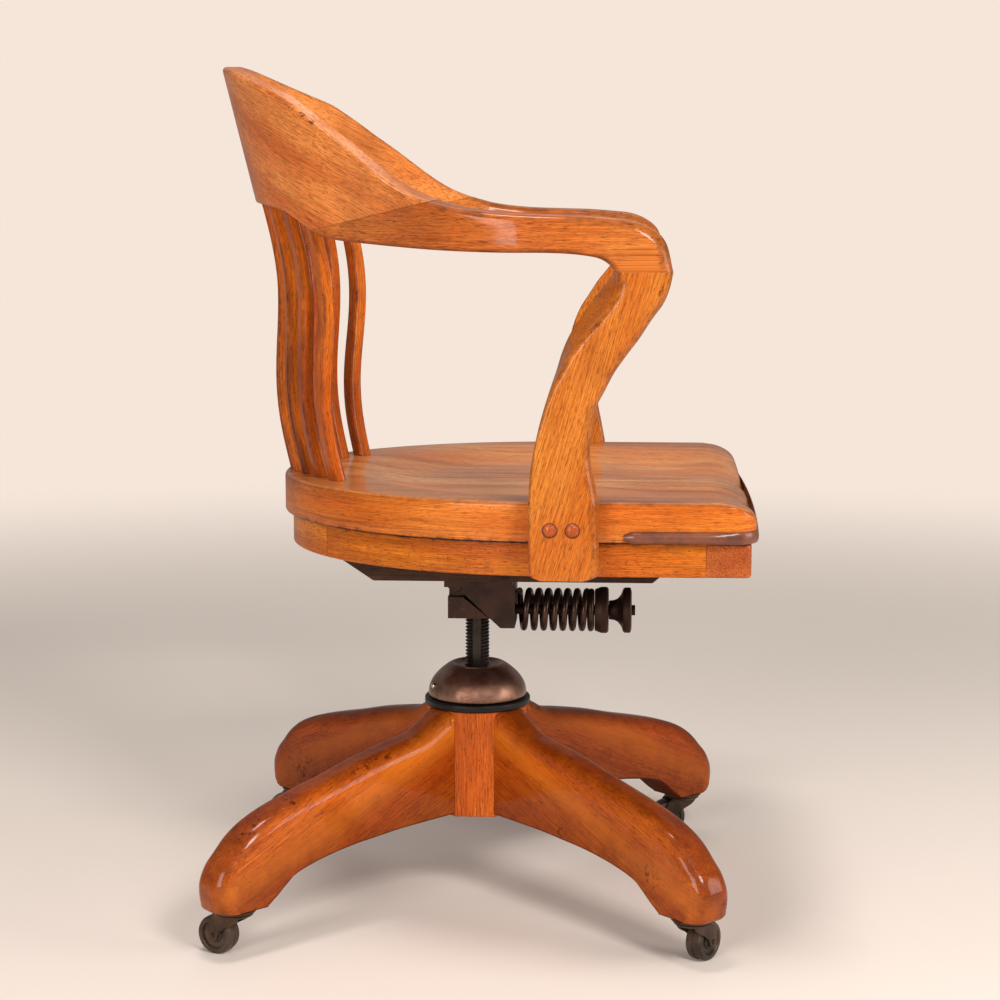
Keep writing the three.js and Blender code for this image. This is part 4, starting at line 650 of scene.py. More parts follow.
def build_horn(name, place):
    """The swivelling disc with its two cheeks."""
    top, inner, sides = SOLE_Z - PLATE_THICK - 2 * FIT, WHEEL_WIDTH / 2 + FIT, 64
    work = bmesh.new()
    for ends in ((inner, inner + CHEEK_THICK), (-inner - CHEEK_THICK, -inner)):
        add(work, *skin([[(x, y, z) for y, z in horn_cheek()] for x in ends]))
    ease(work, [e for e in work.edges if abs(e.verts[0].co.x - e.verts[1].co.x) < 0.01], 1.0)
    profile = [(0.01, top), (18.4, top), (19.5, top - 0.9), (19.5, top - 2.0), (18.6, top - 3.0),
               (16.0, top - 3.9), (9.0, top - 4.3), (0.01, top - 4.3)]
    count = len(profile)
    turns = [2 * pi * k / sides for k in range(sides)]
    add(work, [(r * cos(turn), r * sin(turn), z) for turn in turns for r, z in profile],
        [face for face in wrap(sides, count) if face[0] % count < count - 1])
    work.transform(Matrix.Scale(MM, 4) @ place)
    attach(linked(mesh_of(work, f"caster_fork_{name}"), caster_iron, 35, False), f"fork_{name}",
           f"caster_horn_{name}")


def build_caster(name, turn_leg, turn_caster):
    foot = Matrix.Rotation(radians(turn_leg), 4, "Z") @ Vector((0, CASTER_PLACE, 0))
    place = Matrix.Translation(foot) @ Matrix.Rotation(radians(turn_caster), 4, "Z")
    top, low = SOLE_Z - FIT, SOLE_Z - FIT - PLATE_THICK
    lathe(f"caster_cup_{name}", [(0, low), (20.6, low), (22, top - 2.2), (22, top - 0.6), (21.4, top), (0, top)],
          caster_iron, "base", f"caster_plate_{name}", 64, place)
    build_horn(name, place)
    recolour(f"caster_axle_{name}", caster_iron, 0.7, 2)
    # Half of the wheel's section, from its hub over the web to the grooved tread
    r, w = WHEEL_RADIUS - WHEEL_FACETS, WHEEL_WIDTH / 2
    half = [(2.8, -w), (6.6, -w), (7.4, -w + 0.6), (8.2, -w + 2.5), (13.2, -w + 2.5), (13.9, -w + 0.4),
            (14.4, -w), (16.4, -w), *arc((r - 2.6, -w + 2.6), 2.6, -90, 0, 5), (r, -1.4), (r - 0.9, -0.8)]
    wheel = place @ Matrix.Translation((0, CASTER_TRAIL, WHEEL_RADIUS)) @ Matrix.Rotation(pi / 2, 4, "Y")
    lathe(f"caster_tread_{name}", half + [(r, -z) for r, z in reversed(half)], wheel_steel, f"wheel_{name}",
          f"caster_wheel_{name}", 80, wheel)


for name, (turn, caster) in LEGS.items():
    build_caster(name, turn, caster)


# ---- Column

def nut_profile():
    """The dome's section, from its skirt over a hollow round the screw."""
    skirt, hollow = NUT_BASE + NUT_HEIGHT * 0.06, (29.4, 13.0)
    rows = [(hollow[0], NUT_BASE), (NUT_RADIUS - 1.4, NUT_BASE), (NUT_RADIUS - 0.3, NUT_BASE + 0.7),
            (NUT_RADIUS, NUT_BASE + 1.8)]
    for i in range(33):
        up = i / 34
        rows.append((NUT_CAP + (NUT_RADIUS - NUT_CAP) * (1 - up ** 2.15), skirt + (NUT_TOP - skirt) * up))
    rows += [(NUT_CAP + out, NUT_TOP - down) for out, down in (
        (1.0, 1.4), (0.4, 0.5), (-0.8, 0), (-2.6, 0.1), (-4.6, 1.2), (-7.5, 2.4), (13.2 - NUT_CAP, 2.8),
        (13.0 - NUT_CAP, 3.4))]
    return rows + [(hollow[1], NUT_BASE + 3), (hollow[0], NUT_BASE + 3)]


lathe("height_nut_dome", nut_profile(), gunmetal, "nut", "height_nut", 144, sharp=30)
screw = Matrix.Translation((NUT_RADIUS - FIT, 0, NUT_BASE + NUT_HEIGHT * 0.36)) @ Matrix.Rotation(pi / 2, 4, "Y")
lathe("nut_lock_screw_head", [(0, -11), (3.2, -11), (3.2, -1.9), *arc((1.4, -1.8), 1.8, 0, 90, 6), (0, 0)],
      bright_steel, "nut", "nut_lock_screw", 40, Matrix.Rotation(radians(115), 4, "Z") @ screw)


def build_spindle():
    """The screw with its keyway. The turns that only show inside the hub are coarser."""
    sides, coarse, fine, fine_from = 96, 4, 12, 205.0
    levels, z = [], SPINDLE_LOW
    while z < IRON_BASE:
        levels.append(z)
        z += PITCH / (fine if z > fine_from else coarse)
    rings = []
    for z in levels + [IRON_BASE]:
        ring = []
        for k in range(sides):
            turn = 2 * pi * k / sides
            phase = ((z - SPINDLE_LOW) / PITCH - turn / (2 * pi)) % 1.0
            out = SPINDLE_RADIUS - THREAD_DEPTH * smooth((abs(phase - 0.5) * 2 - 0.15) / 0.7)
            x, y = out * cos(turn), out * sin(turn)
            if x < 0 and abs(y) < KEYWAY_HALF:
                x = max(x, KEYWAY_DEPTH - SPINDLE_RADIUS)
            ring.append(Vector((x, y, z)))
        rings.append(ring)
    piece("spindle_thread", *skin(rings), thread_steel, "column", "spindle", sharp=50)


build_spindle()
recolour("socket_tube", black_iron)
recolour("swivel_sleeve", black_iron)


# ---- Tilt irons

recolour("tilt_hub", cast_iron, 1.6)
recolour("swing_casting", cast_iron, 1.6)
recolour("tension_bolt", cast_iron, 0.8)
lathe("pivot_pin_steel", [(0, -PIVOT_HALF), (3.8, -PIVOT_HALF), *arc((4.0, 1 - PIVOT_HALF), 1.0, -90, 0, 3),
                          *arc((4.0, PIVOT_HALF - 1), 1.0, 0, 90, 3), (3.8, PIVOT_HALF), (0, PIVOT_HALF)],
      cast_iron, "column", "pivot_pin", 40,
      Matrix.Translation((0, PIVOT_Y, PIVOT_Z)) @ Matrix.Rotation(pi / 2, 4, "Y"))


def build_spring():
    """A closed coil, made in two lengths."""
    radius, half, closing = (SPRING_OUTER - SPRING_WIRE) / 2, SPRING_WIRE / 2, 2.6
    rear, front = LIP_FACE + FIT + half, LIP_FACE + SPRING_LENGTH - FIT - half
    steps, sides = SPRING_TURNS * 56, 16
    centres = []
    for i in range(steps + 1):
        share = i / steps
        turn = share * SPRING_TURNS * 2 * pi
        pull = smooth(share * SPRING_TURNS / 0.8) - smooth((share - 1) * SPRING_TURNS / 0.8 + 1) - (1 - 2 * share)
        along = min(max(lerp(rear, front, share) + closing * pull, rear), front)
        centres.append(Vector((radius * sin(turn), -along, SPRING_Z + radius * cos(turn))))
    rings = []
    for i, centre in enumerate(centres):
        way = (centres[min(i + 1, steps)] - centres[max(i - 1, 0)]).normalized()
        out = Vector((centre.x, 0, centre.z - SPRING_Z)).normalized()
        out = (out - way * out.dot(way)).normalized()
        turns = [2 * pi * k / sides for k in range(sides)]
        rings.append([centre + (out * cos(turn) + way.cross(out) * sin(turn)) * half for turn in turns])
    middle = steps * 27 // 64
    seam = centres[middle].y
    for name, part, a, b, start, end in (
            ("tension_spring_rear", rings[:middle + 1], "seat", "rod", -LIP_FACE, seam),
            ("tension_spring_front", rings[middle:], "rod", "washer", seam, FIT - LIP_FACE - SPRING_LENGTH)):
        mesh = bpy.data.meshes.new(name)
        points, faces = skin(part)
        mesh.from_pydata([p * MM for p in points], [], faces)
        obj = linked(mesh, spring_steel, 50, False)
        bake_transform(obj)
        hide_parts("tension_spring")


build_spring()
forward = Matrix.Translation((0, 0, SPRING_Z)) @ Matrix.Rotation(pi / 2, 4, "X")
w0 = LIP_FACE + SPRING_LENGTH  # the washer's rear face
lathe("cup_washer_steel", [(BOLT_BORE, w0), (20.6, w0), *arc((21.0, w0 + 1.4), 1.4, -90, -30, 3), (24.2, w0 + 6.2),
                           *arc((23.3, w0 + 7.6), 1.2, 0, 20, 2), *arc((21.3, w0 + 11.4), 3.2, 0, 90, 6),
                           (12, w0 + 14.6), (BOLT_BORE, w0 + 14.6)],
      cast_iron, "washer", "cup_washer", 80, forward)
k0 = w0 + 14.9  # the knob's rear face
lathe("tension_knob_iron", [(BOLT_BORE, k0), (9.6, k0), (10.1, k0 + 1.2), (10.3, k0 + 3), (10.8, k0 + 6),
                            (12.2, k0 + 9), (14.6, k0 + 11.2), (17.0, k0 + 13), (20.5, k0 + 14.2),
                            (23.0, k0 + 15.2), *arc((22.4, k0 + 17.4), 1.6, -50, 0, 3),
                            *arc((22.4, k0 + 21.6), 1.6, 0, 60, 3),
                            (21.0, k0 + 23.6), (19, k0 + 24), (BOLT_BORE, k0 + 24)],
      cast_iron, "knob", "tension_knob", 80, forward)


# ---- Seat

def seat_edge(bow=24, corner=10, side=14, back=56):
    """The board's outline, from the middle of its front round by the left, the back and the right."""
    half, c, shoulder = SEAT_HALF, SEAT_CORNER, SEAT_BOW - SEAT_FRONT
    edge = [(i / bow * (half - c), SEAT_BOW * (i / bow) ** 2 - SEAT_FRONT) for i in range(bow)]
    turns = [i / corner * pi / 2 for i in range(corner)]
    edge += [(half - c + c * sin(turn), shoulder + c * (1 - cos(turn))) for turn in turns]
    edge += [(half, lerp(shoulder + c, -SEAT_WAIST, i / side)) for i in range(side)]
    turns = [i / back * pi / 2 for i in range(back + 1)]
    edge += [(half * cos(turn), SEAT_BACK * sin(turn) - SEAT_WAIST) for turn in turns]
    return [Vector(p) for p in edge + [(-x, y) for x, y in reversed(edge[1:-1])]]


EDGE = seat_edge()


def inset(amount, edge=EDGE):
    """An outline moved inwards."""
    out = []
    for before, p, after in zip(edge[-1:] + edge, edge, edge[1:] + edge[:1]):
        way = (after - p).normalized() + (p - before).normalized()
        out.append(p + Vector((-way.y, way.x)) * (amount * 2 / way.length_squared))
    return out


def seat_height(x, y):
    """The board's upper side: dished, rolled over at the front and hollowed for the thighs."""
    ahead = DISH_Y - y
    length = DISH_AHEAD if ahead > 0 else SEAT_REAR - DISH_Y - 55.5
    dish = DISH_DEPTH * smooth((1 - hypot(x / (SEAT_HALF * 0.86), ahead / length)) / 0.455)
    into = min(max((-y - SEAT_FRONT + FRONT_ROLL) / FRONT_ROLL, 0), 1)
    roll = ROLL_DEPTH * (1 - sqrt(1 - into * into))
    thighs = smooth((-y - 90) / 130) * smooth((abs(x) - 6) / 80) * (1 - smooth((abs(x) - 150) / 90))
    return SEAT_TOP - dish - roll - THIGH_DEPTH * thighs


def build_seat():
    low, size, steps, rows = SEAT_BASE, 4.6, 6, 44
    # The rings up the side and round the rim: how far in, the height over a point, and the wear, darkest at the
    # bottom edge, where it is also painted shade over the apron
    levels = [(3.0, lambda x, y: low, 0.6), (0.6, lambda x, y: low + 0.5, 0.9), (0.0, lambda x, y: low + 2.0, 0.5)]
    for k in range(1, 4):
        levels.append((0.0, lambda x, y, up=k / 3: lerp(low + 2.0, max(seat_height(x, y) - size, low + 4.0), up),
                       0.12))
    for k in range(1, steps + 1):
        t = pi / 2 * k / steps
        levels.append((size * (1 - cos(t)),
                       lambda x, y, t=t: max(seat_height(x, y) - size * (1 - sin(t)), low + 4.4 + t),
                       0.35 + 0.5 * sin(2 * t)))
    count, rings, wears_and_shades = len(EDGE), [], []
    for amount, height, worn_and_shaded in levels:
        rings.append([Vector((p.x, p.y, height(p.x, p.y))) for p in inset(amount)])
        wears_and_shades += [worn_and_shaded] * count
    for k in range(1, rows):
        share = 1 - k / rows
        plan = [(p.x * share, lerp(DISH_Y, p.y, share)) for p in rings[len(levels) - 1]]
        rings.append([Vector((x, y, seat_height(x, y))) for x, y in plan])
        wears_and_shades += [1.25 * max(0, share - 0.8)] * count
    points, faces = skin(rings, caps=(True, False))
    hub = len(points)
    points.append(Vector((0, DISH_Y, seat_height(0, DISH_Y))))
    wears_and_shades.append(0.0)
    faces += [(hub - count + i, hub - count + (i + 1) % count, hub) for i in range(count)]
    ways = [0.0]
    for a, b in zip(EDGE, EDGE[1:]):
        ways.append(ways[-1] + (b - a).length)

    def grain(co, index):
        """Round the side, and from front to back above."""
        return (ways[index % count], co.z * 1.6, 0.0) if index < 9 * count else (co.y, co.x, co.z)
    board = piece("seat_board_wood", points, faces,
                  wood("seat", 21, pith=(0.03, 0.16), rings=0.006, boards=((-176, -62, 58, 172), 0.5),
                       contact=SEAT_BASE, bands=0.8, sheen=0.13, coat=0.6),
                  "seat", "seat_board", grain, wears_and_shades, sharp=42)
    board.data.materials.append(wood("rim", 22, pith=(-0.69, 0.02), rings=0.0045, figure=1.6, contact=SEAT_BASE,
                                     bands=0.6, rim_tint=0.3))
    # Upward faces take the paler seat tone, which paints the top's sheen; the sides take the rim's.
    for face in board.data.polygons:
        face.material_index = int(abs(face.normal.z) < 0.62)


build_seat()


def build_apron(name, keep, planes, seed):
    """A bent rail under the kept part of the seat's edge, cut square at its joints."""
    outer, inner = inset(APRON_INSET), inset(APRON_INSET + APRON_THICK)
    low, high = APRON_BASE, SEAT_BASE - FIT
    rings, wears_and_shades, grains, way = [], [], [], 0.0
    for i in [i for i, p in enumerate(EDGE) if keep(p)]:
        if rings:
            way += (EDGE[i] - EDGE[i - 1]).length
        a, b = outer[i], inner[i]
        ring = rounded([Vector((*p, z)) for p, z in ((a, low), (a, high), (b, high), (b, low))], [1.6] * 4, 3, 3)
        rings.append([p for p, _ in ring])
        wears_and_shades += [0.2 + 0.6 * c for _, c in ring]
        grains += [(way, p.z, 0.0) for p, _ in ring]
    piece(f"apron_{name}_wood", *skin(rings),
          wood("apron", seed, pith=(0.02, 0.14), contact=SEAT_BASE, specks=0.46, bands=0.5), "seat",
          f"apron_{name}", grains, wears_and_shades, sharp=32, weighted=True, planes=planes)


build_apron("rear", lambda p: p.y > REAR_JOINT - 26, [((0, REAR_JOINT + FIT, 0), (0, -1, 0))], 31)
for seed, (side, name) in enumerate(SIDES, 32):
    build_apron(name, lambda p: p.x * side > 0 and FRONT_JOINT - 24 < p.y < REAR_JOINT + 26,
                [((0, REAR_JOINT, 0), (0, 1, 0)), ((0, FRONT_JOINT, 0), (0, -1, 0))], seed)
rail, corner = SEAT_HALF - APRON_INSET, 4
half_plan = [(rail, FRONT_JOINT - FIT), (rail, APRON_FRONT + corner), (rail - corner, APRON_FRONT)]
prism("apron_front_wood", half_plan + [(-x, y) for x, y in reversed(half_plan)], APRON_BASE, SEAT_BASE - FIT, "Z",
      wood("endgrain", 34, pith=(0.015, 0.03), rings=0.003, contact=SEAT_BASE), "seat", "apron_front",
      lambda co, _: co, 3.4, 5, square=FRONT_JOINT - FIT)
for side, name in SIDES:
    top = SEAT_BASE - FIT
    shoulder = BEARER_BASE + BEARER_SLANT
    prism(f"bearer_{name}_wood",
          [(BEARER_REAR, top), (BEARER_REAR, shoulder), (BEARER_REAR - 39, BEARER_BASE),
           (BEARER_FRONT + 31, BEARER_BASE), (BEARER_FRONT, shoulder), (BEARER_FRONT, top)],
          *sorted(side * x for x in BEARER_SIDES), "X", stained, "seat", f"bearer_{name}",
          lambda co, _: (co.y, co.z, co.x), 1.0)


def build_bead():
    """The guard bead, flatter along the front and rounded off at both ends."""
    edge = seat_edge(24, 16, 26, 12)
    half, ends, count = 6.0, 12, len(edge)
    front = [i for i in ((k + count // 2) % count for k in range(count)) if edge[i].y < BEAD_START + 0.5]
    rings = []
    for n, i in enumerate(front):
        stand = (BEAD_PROUD - FIT) * lerp(1.0, 0.32, smooth((-edge[i].y - 235) / 30))
        way = abs(edge[i].y - BEAD_START)
        inside = way > ends or min(n, len(front) - 1 - n) > 6
        size = 1.0 if inside else max(0.1, sqrt(1 - (1 - way / ends) ** 2))
        turns = [pi * (k / 12 - 0.5) for k in range(13)]
        rings.append([Vector((*inset(-FIT - cos(turn) * stand * size, edge)[i],
                              SEAT_BASE + half + sin(turn) * half * size)) for turn in turns])
    piece("guard_bead_brown", *skin(rings), bead_brown, "seat", "guard_bead", sharp=60)


build_bead()


# ---- Arms and crest

# The crest's stations, each with its turn and the shares of its top, its underside and its width
CREST_SHARES = [
    (0, 1, 1, 0), (10, 0.992, 0.995, 0), (20, 0.96, 0.977, 0), (30, 0.908, 0.93, 0), (40, 0.843, 0.8, 0),
    (48, 0.78, 0.55, 0.02), (54, 0.7, 0.34, 0.06), (60, 0.607, 0.22, 0.12), (68, 0.467, 0.16, 0.22)]
# The arm's stations: reach, side and drop of its foot, then of its head, and its width
ARM_SHARES = [
    [-0.25, 0.8, -0.06, -0.283, 0.875, -0.47, 0.74], [-0.025, 0.918, -0.02, -0.04, 0.945, -0.135, 0.88],
    [0.2, 0.982, 0, 0.2, 0.988, -0.015, 0.98], [0.404, 1, 0, 0.43, 1, 0.02, 1],
    [0.525, 1, 0.018, 0.566, 1, 0.035, 1], [0.616, 1, 0.058, 0.707, 1, 0.075, 1],
    [0.662, 1, 0.1, 0.808, 1, 0.12, 1], [0.697, 1, 0.175, 0.899, 1, 0.26, 1], [0.717, 1, 0.25, 0.965, 1, 0.5, 1]]


def bow_rows():
    """Foot, head, width and edge radii at each station, from the crest's middle to the left nose."""
    rows = []
    for turn, rise, sill, widen in CREST_SHARES:
        s, c = sin(radians(turn)), cos(radians(turn))
        rows.append([s * CREST_FOOT, CREST_CENTRE + c * CREST_FOOT, ARM_UNDER + sill * CREST_SILL,
                     s * CREST_HEAD, CREST_CENTRE + c * CREST_HEAD, ARM_TOP + rise * CREST_RISE,
                     lerp(CREST_THICK, ARM_WIDTH, widen), 5.5, 3.5])
    for n, (fr, fs, fd, hr, hs, hd, width) in enumerate(ARM_SHARES):
        rows.append([fs * ARM_MIDDLE, -fr * ARM_REACH, ARM_UNDER - fd * ARM_DROP,
                     hs * ARM_MIDDLE, -hr * ARM_REACH, ARM_TOP - hd * ARM_DROP, width * ARM_WIDTH,
                     lerp(6.0, 13.5, n / 8), lerp(4.0, 6.0, n / 8)])
    rows.append([ARM_MIDDLE, 53.5 - ARM_REACH, ARM_SEAM, ARM_MIDDLE, -ARM_REACH, ARM_SEAM, ARM_WIDTH, 11.5, 6.0])
    return rows


def worn_and_shaded(p, corner):
    """The wear of an arm or a post: most at its corners and on the arm's nose."""
    return min(1.0, 0.15 + 0.85 * corner + smooth((-p.y - ARM_REACH + 16) / 15))


def bow_half(per=8):
    """Rings, wear and grain from the crest's middle to the left nose."""
    rows = bow_rows()
    made = dense(rows, per)
    for k, row in enumerate(made):  # the width runs straight between the stations
        i = min(k // per, len(rows) - 2)
        row[6] = lerp(rows[i][6], rows[i + 1][6], k / per - i)
    plan = [Vector(((row[0] + row[3]) / 2, (row[1] + row[4]) / 2)) for row in made]
    rings, wears_and_shades, grains, way = [], [], [], 0.0
    for row, here, behind, ahead in zip(made, plan, [Vector((-plan[1].x, plan[1].y))] + plan,
                                        plan[1:] + plan[-1:]):
        d = (ahead - behind).normalized()
        side = Vector((d.y, -d.x, 0)) * (row[6] / 2)
        foot, head = Vector(row[0:3]), Vector(row[3:6])
        if rings:
            way += (here - behind).length
        ring = rounded([foot + side, head + side, head - side, foot - side],
                       [row[8], row[7], row[7], row[8]], 5, 5)
        rings.append([p for p, _ in ring])
        wears_and_shades.append([worn_and_shaded(p, c) for p, c in ring])
        grains.append([(way, p.z, (p - foot).dot(side) / side.length) for p, _ in ring])
    return rings, wears_and_shades, grains


RINGS, WEARS, GRAINS = bow_half()
# The sloping joint between the crest and the arms
SCARF_POINT = Vector((0, SCARF_Y, ARM_UNDER + SCARF_UP))
SCARF_NORMAL = Vector((0, SCARF_RISE / SCARF_RUN, 1)).normalized()


def mirrored(rings):
    return [[Vector((-p.x, p.y, p.z)) for p in ring] for ring in rings]


def build_bow():
    slant = 0.42
    grains = [(sign * u, v + u * slant, w) for sign, part in ((-1, GRAINS[:0:-1]), (1, GRAINS))
              for ring in part for u, v, w in ring]
    piece("crest_rail_wood", *skin(mirrored(RINGS[:0:-1]) + RINGS), wood("crest", 41, pith=(0.1, 0.09)), "seat",
          "crest_rail", grains, sum(WEARS[:0:-1] + WEARS, []), sharp=35, weighted=True,
          planes=[(SCARF_POINT + Vector((0, 0, FIT)), -SCARF_NORMAL)])
    for seed, (side, name) in enumerate(SIDES, 42):
        piece(f"arm_{name}_wood", *skin(RINGS if side > 0 else mirrored(RINGS)),
              wood("arm", seed, pith=(-0.66, 0.03), rings=0.006, figure=1.8, rim_tint=0.3), "seat", f"arm_{name}",
              sum(GRAINS, []), sum(WEARS, []), sharp=35, weighted=True, planes=[(SCARF_POINT, SCARF_NORMAL)])


build_bow()

# The post's stations: height, then the reach of its front, of its inner and outer rear edges, and its lean
POST_SHARES = [
    [1, 1, 0.727, 0.742, 1], [0.951, 0.985, 0.674, 0.752, 0.98], [0.902, 0.957, 0.616, 0.725, 0.92],
    [0.846, 0.9, 0.563, 0.662, 0.82], [0.79, 0.848, 0.513, 0.586, 0.7], [0.734, 0.788, 0.48, 0.528, 0.56],
    [0.678, 0.732, 0.457, 0.48, 0.42], [0.618, 0.687, 0.429, 0.434, 0.3], [0.559, 0.646, 0.404, 0.404, 0.2],
    [0.478, 0.626, 0.374, 0.374, 0.1], [0.398, 0.621, 0.351, 0.351, 0.04], [0.322, 0.641, 0.338, 0.338, 0],
    [0.245, 0.662, 0.333, 0.333, 0]]


def build_post(side, name, seed):
    """A post from the arm down beside the board, then under it along the apron to a rounded foot."""
    height, curve, slope = ARM_SEAM - HAIRLINE - POST_FOOT, 9.0, radians(16)
    on_board, on_apron = SEAT_HALF + FIT, SEAT_HALF - APRON_INSET + FIT
    rings, wears_and_shades = [], []

    def ring(z, shares, inner_x, sizes, drawn_in=0.0):
        front, inner, outer = (share * ARM_REACH + drawn_in * way for share, way in zip(shares, (-1, 1, 1)))
        corners = [Vector((side * x, -y, z)) for x, y in (
            (inner_x, inner), (inner_x, front), (ARM_SPREAD, front), (ARM_SPREAD, outer))]
        made = rounded(corners, sizes, 6, 4)
        rings.append([p for p, _ in made])
        wears_and_shades.extend(worn_and_shaded(p, c) for p, c in made)

    for up, front, inner, outer, lean in dense(POST_SHARES, 8):
        ring(POST_FOOT + up * height, (front, inner, outer),
             lerp(on_board, ARM_SPREAD - ARM_WIDTH, max(lean, 0.0)),
             [3.0, lerp(5.0, 9.0, smooth((up - 0.3) / 0.3)), lerp(11.0, 10.0, smooth((up - 0.2) / 0.3)),
              lerp(3.0, 6.0, smooth((up - 0.4) / 0.3))])
    for z in (SEAT_BASE + 8, SEAT_BASE):
        share = smooth((SEAT_BASE + 12 - z) / 12)
        ring(z, [lerp(a, b, share) for a, b in zip(POST_SHARES[-1][1:4], (0.664, 0.334, 0.334))], on_board,
             [1.5, 2.5, lerp(11.0, 8.0, share), 3.0])
    for k in range(12):
        up = (SEAT_BASE - FIT - POST_FOOT) * (1 - k / 11)
        ring(POST_FOOT + up, (0.664, 0.336, 0.336), on_apron, [1.5, 2.5, 8.0, 3.0],
             curve - sqrt(curve ** 2 - max(curve - up, 0.0) ** 2))
    piece(f"arm_post_{name}_wood", *skin(rings), wood("post", seed, pith=(0.12, 0.02)), "seat", f"arm_post_{name}",
          lambda co, _: (co.z * cos(slope) - co.y * sin(slope), co.z * sin(slope) + co.y * cos(slope), co.x),
          wears_and_shades, sharp=38, weighted=True)


for seed, (side, name) in enumerate(SIDES, 51):
    build_post(side, name, seed)
for side, name in SIDES:
    for i, reach in enumerate(PLUG_REACHES):
        at = Vector((side * ARM_SPREAD, -reach, SEAT_TOP - PLUG_DROP))
        place = Matrix.Translation(at) @ Matrix.Rotation(side * pi / 2, 4, "Y")
        lathe(f"plug_{name}_{i + 1}_wood",
              [(0, -8), (6.6, -8), (6.6, 0.1), (6.4, 0.28), (5.0, 0.5), (3.0, 0.64), (0, 0.69)],
              wood("plug", 60 + i, button=True, figure=0.3, wear_tint=0.2), "seat", f"plug_{name}_{i + 1}", 48,
              place, 60, lambda co, _: (co.x, co.y - at.y, co.z - at.z))
        # A dark ring round each plug, painted shade for the groove round it.
        lathe(f"plug_ring_{name}_{i + 1}", [(6.4, -1), (7.3, -1), (7.3, 0.04), (7.0, 0.14), (6.4, 0.14)],
              groove_shade, "seat", f"plug_{name}_{i + 1}", 48, place, 60)


# ---- Slats

# The bow's underside: a turn about the crest's centre in degrees, and the height there
SILL = [(abs(degrees(atan2(ring[0].x + ring[-1].x, ring[0].y + ring[-1].y - 2 * CREST_CENTRE))),
         min(p.z for p in ring)) for ring in RINGS]


def sill_at(x, y):
    turn = abs(degrees(atan2(x, y - CREST_CENTRE)))
    for (a, za), (b, zb) in zip(SILL, SILL[1:]):
        if a <= turn <= b and b > a:
            return lerp(za, zb, (turn - a) / (b - a))
    return SILL[0][1]


def build_slat(index):
    """One slat from the board to the bow, swayed a little like an S from the side."""
    share, levels = 2 * index / (SLATS - 1) - 1, 60
    fan, twist = radians(share * 49), radians(-share * 33)
    foot = Vector((share * 105, SEAT_REAR - 10.5 - 56 * abs(share) ** 1.5, SEAT_TOP + FIT))
    head = Vector((sin(fan) * CREST_FOOT, CREST_CENTRE + cos(fan) * CREST_FOOT, 0))
    head.z = sill_at(head.x, head.y)
    across, through = Vector((cos(twist), sin(twist), 0)), Vector((-sin(twist), cos(twist), 0))
    a, b = across * SLAT_HALF, through * SLAT_DEEP
    rings, wears_and_shades, grains = [], [], []
    for level in range(levels + 1):
        up = level / levels
        middle = foot.lerp(head, up)
        middle.y += SLAT_SWAY * sin(2 * pi * up)
        ring = rounded([middle + a + b, middle - a + b, middle - a - b, middle + a - b], [3.4] * 4, 4, 3)
        for p, _ in ring:
            if level == levels:
                p.z = sill_at(p.x, p.y) - FIT
            elif level == 0:
                p.z = max(seat_height(p.x, p.y), p.z - 3) + FIT
        rings.append([p for p, _ in ring])
        wears_and_shades += [0.2 + 0.8 * c for _, c in ring]
        grains += [(p.z, (p - middle).dot(across), (p - middle).dot(through)) for p, _ in ring]
    piece(f"slat_{index + 1}_wood", *skin(rings),
          wood("slat", 70 + index, pith=(0.05 + 0.01 * index, 0.04), rings=0.0026, specks=0.48, bands=0.8,
               wear_tint=0.8),
          "seat", f"slat_{index + 1}", grains, wears_and_shades, sharp=38, weighted=True)


for index in range(SLATS):
    build_slat(index)


# ---- Floor, light and camera

def build_floor():
    """A pale floor that fades out into the background."""
    bpy.ops.mesh.primitive_circle_add(vertices=128, radius=9, fill_type="NGON", location=(0, 0, 0))
    ground = bpy.context.object
    ground.name = "studio_floor"
    n = Nodes(bpy.data.materials.new("floor_paint"))
    length = n.add("ShaderNodeVectorMath", operation="LENGTH")
    n.link(n.position, length.inputs[0])
    n.set(Base_Color=n.mix(n.noise(n.position, 2.0, 4.0), (0.8, 0.71, 0.645, 1), (0.83, 0.74, 0.675, 1)),
          Roughness=0.8, Specular_IOR_Level=0.1, Alpha=n.ramp(length.outputs["Value"], 1.1, 3.4, 1.0, 0.0))
    ground.data.materials.append(n.owner)


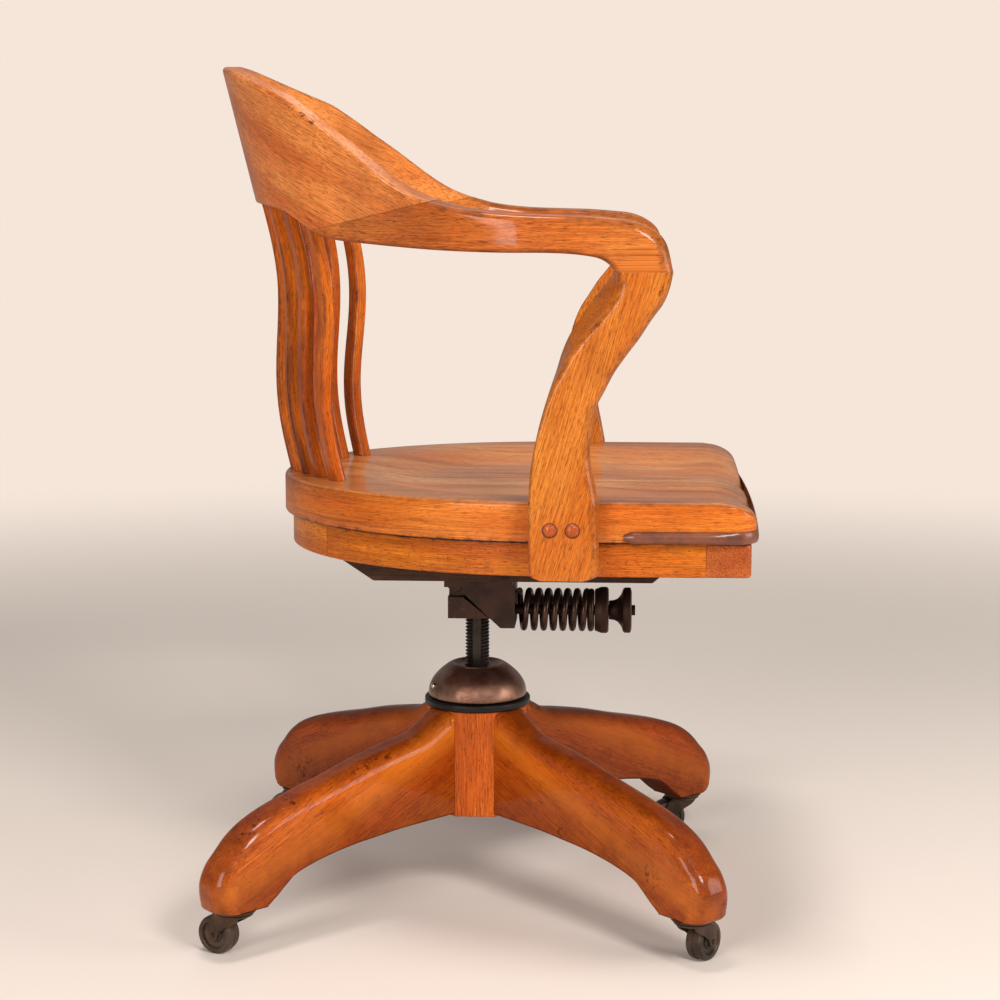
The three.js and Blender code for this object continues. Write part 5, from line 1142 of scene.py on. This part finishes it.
def build_world():
    """Soft light from all round, and a plain warm background for the camera and through clear parts."""
    world = bpy.data.worlds.new("studio")
    bpy.context.scene.world = world
    n = Nodes(world, "ShaderNodeMixShader", "ShaderNodeOutputWorld")
    path = n.add("ShaderNodeLightPath").outputs
    n.link(n.larger(path["Is Camera Ray"], path["Is Transmission Ray"]), n.shader.inputs[0])
    for slot, colour, strength in ((1, (1.0, 0.97, 0.94, 1), 0.25), (2, (0.92, 0.79, 0.7, 1), 1.0)):
        light = n.add("ShaderNodeBackground")
        n.link(colour, light.inputs["Color"])
        n.link(strength, light.inputs["Strength"])
        n.link(light.outputs[0], n.shader.inputs[slot])


def aimed(name, data, place, way):
    obj = bpy.data.objects.new(name, data)
    obj.location = place
    obj.rotation_mode = "QUATERNION"
    obj.rotation_quaternion = way.to_track_quat("-Z", "Y")
    bpy.context.scene.collection.objects.link(obj)
    return obj


def lamp(name, place, target, size, watts, colour):
    data = bpy.data.lights.new(name, "AREA")
    data.shape = "RECTANGLE"
    data.size, data.size_y = size
    data.energy, data.color = watts, colour
    aimed(name, data, place, Vector(target) - Vector(place))


def build_camera():
    data = bpy.data.cameras.new("camera")
    data.sensor_width, data.lens = 36.0, 79.6
    data.clip_start, data.clip_end = 0.05, 60
    way = Vector((0.98832, 0.05716, -0.14125))
    bpy.context.scene.camera = aimed("camera", data, (-2.300, -0.157, 0.751), way)


build_floor()
build_world()
lamp("key", (-2.1, -1.2, 2.0), (0, 0, 0.4), (0.7, 0.7), 48, (1.0, 0.96, 0.91))
lamp("top", (-0.5, 0.2, 2.9), (0, 0, 0.4), (0.6, 0.6), 24, (1.0, 0.97, 0.93))
lamp("front", (-0.7, -2.7, 0.9), (-0.1, 0, 0.5), (1.5, 1.2), 30, (1.0, 0.97, 0.94))
lamp("fill", (-2.7, 1.2, 1.1), (0, 0, 0.4), (1.2, 1.4), 46, (1.0, 0.96, 0.93))
lamp("rim", (1.6, -0.2, 2.7), (0, 0, 0.5), (1.4, 1.4), 8, (1.0, 0.98, 0.96))
build_camera()
bpy.context.scene.view_settings.view_transform = "Standard"
